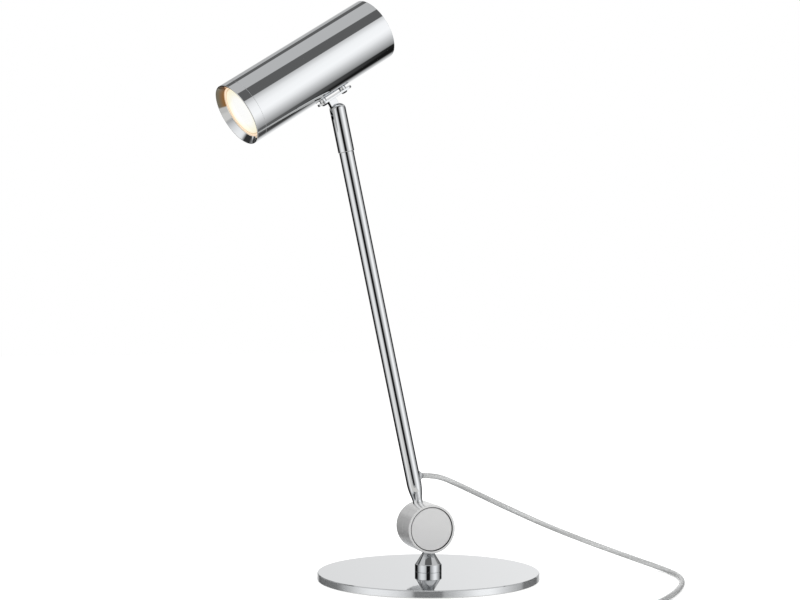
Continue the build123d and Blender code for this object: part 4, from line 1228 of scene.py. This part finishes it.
share = add_node(sky, "MapRange", {"Value": around, "From Min": -180.0, "From Max": 180.0})
side = add_node(sky, "ValToRGB", {"Fac": share})
set_stops(side.node.color_ramp, [((stop + 180) / 360, grey(tone)) for stop, tone in SIDE_STOPS])
fade_range = {"From Min": 0.42, "From Max": 0.62, "To Min": 1.0, "To Max": 0.78}
fade = add_node(sky, "MapRange", {"Value": up, **fade_range})
studio = add_node(sky, "Mix", {0: 1.0, 6: side, 7: fade}, data_type="RGBA", blend_type="MULTIPLY")
print("stops round the lamp", len(SIDE_STOPS))

# %% [markdown]
# Above and below, flat panels are laid over that ring, each with its own tone: the greyer upper parts of
# the flags and of the backdrop, a dark ceiling, a grey scrim under it with paler sides, a flag's grey foot,
# and the table. A panel's mask is again a product of ramps.

# %% Panels overhead and below
scrim_reach = ((ahead, -0.42, -0.38), (aside, 1.4, 1.3), (up, 0.3, 0.32))
PANELS = (
    ("left_flag_upper", grey(0.25), ((up, 0.20, 0.24), (around, -104, -110), (around, -162, -152))),
    ("right_flag_upper", grey(0.15), ((up, 0.24, 0.29), (around, 108, 114), (around, 154, 147))),
    ("backdrop_top", grey(0.42), ((up, 0.49, 0.54), (turned_away, 100, 112))),
    ("left_flag_top", grey(0.03), ((up, 0.36, 0.44), (around, -70, -84), (around, -136, -112))),
    ("ceiling", grey(0.105), ((ceiling, 0.679, 0.693),)),
    ("scrim", grey(0.455), ((ahead, 0.365, 0.34), *scrim_reach)),
    ("scrim_sides", grey(0.5), ((ahead, 0.52, 0.46), (aside, 0.42, 0.5), *scrim_reach)),
    ("right_flag_foot", grey(0.12), ((around, 108, 114), (around, 150, 146), (up, -0.47, -0.56))),
    ("right_flag_back", grey(0.08), ((around, 144, 148), (around, 162, 156), (up, -0.37, -0.43))),
    ("table_near", (0.58, 0.57, 0.55, 1), ((up, -0.26, -0.36), (turned_away, 62, 50))),
    ("table", (0.5, 0.49, 0.47, 1), ((up, -0.62, -0.7),)),
)
for name, tone, ramps in PANELS:
    studio = add_node(sky, "Mix", {0: ramp_mask(sky, ramps), 6: studio, 7: tone}, data_type="RGBA")
    print("panel", name)

# %% [markdown]
# Mirrors and clear plastic see the painted studio, the camera sees plain white, and everything else gets
# one even light. Three soft lamps add a little direction to it, and mirrors don't see them.

# %% World light and lamps
STUDIO_GAIN = 1.27
EVEN_LIGHT = 0.72
LAMPS_AIM = Vector((0, 0, 0.25))
paths = add_node(sky, "LightPath").node.outputs
mirror_rays = {0: paths["Is Glossy Ray"], 1: paths["Is Transmission Ray"]}
mirrored = add_node(sky, "Math", mirror_rays, operation="MAXIMUM")
light = add_node(sky, "Mix", {0: mirrored, 2: EVEN_LIGHT, 3: STUDIO_GAIN}, data_type="FLOAT")
strength = add_node(sky, "Mix", {0: paths["Is Camera Ray"], 2: light, 3: 1.0}, data_type="FLOAT")
colour = add_node(sky, "Mix", {0: mirrored, 6: (1, 1, 1, 1), 7: studio}, data_type="RGBA")
backdrop = add_node(sky, "Background", {"Color": colour, "Strength": strength})
add_node(sky, "OutputWorld", {"Surface": backdrop})

for name, place, size, power in (
    ("soft_box_left", (-1.3, -0.9, 1.1), 0.9, 6.0),
    ("soft_box_right", (1.2, -1.2, 1.0), 0.9, 6.0),
    ("overhead_scrim", (0.0, 0.2, 1.9), 1.2, 8.0),
):
    lamp_data = bpy.data.lights.new(name, "AREA")
    lamp_data.size = size
    lamp_data.energy = power
    lamp = bpy.data.objects.new(name, lamp_data)
    lamp.location = place
    lamp.rotation_euler = (LAMPS_AIM - Vector(place)).to_track_quat("-Z", "Y").to_euler()
    lamp.visible_glossy = False
    scene.collection.objects.link(lamp)
print("studio", len(sky.nodes), "nodes, 3 lamps")
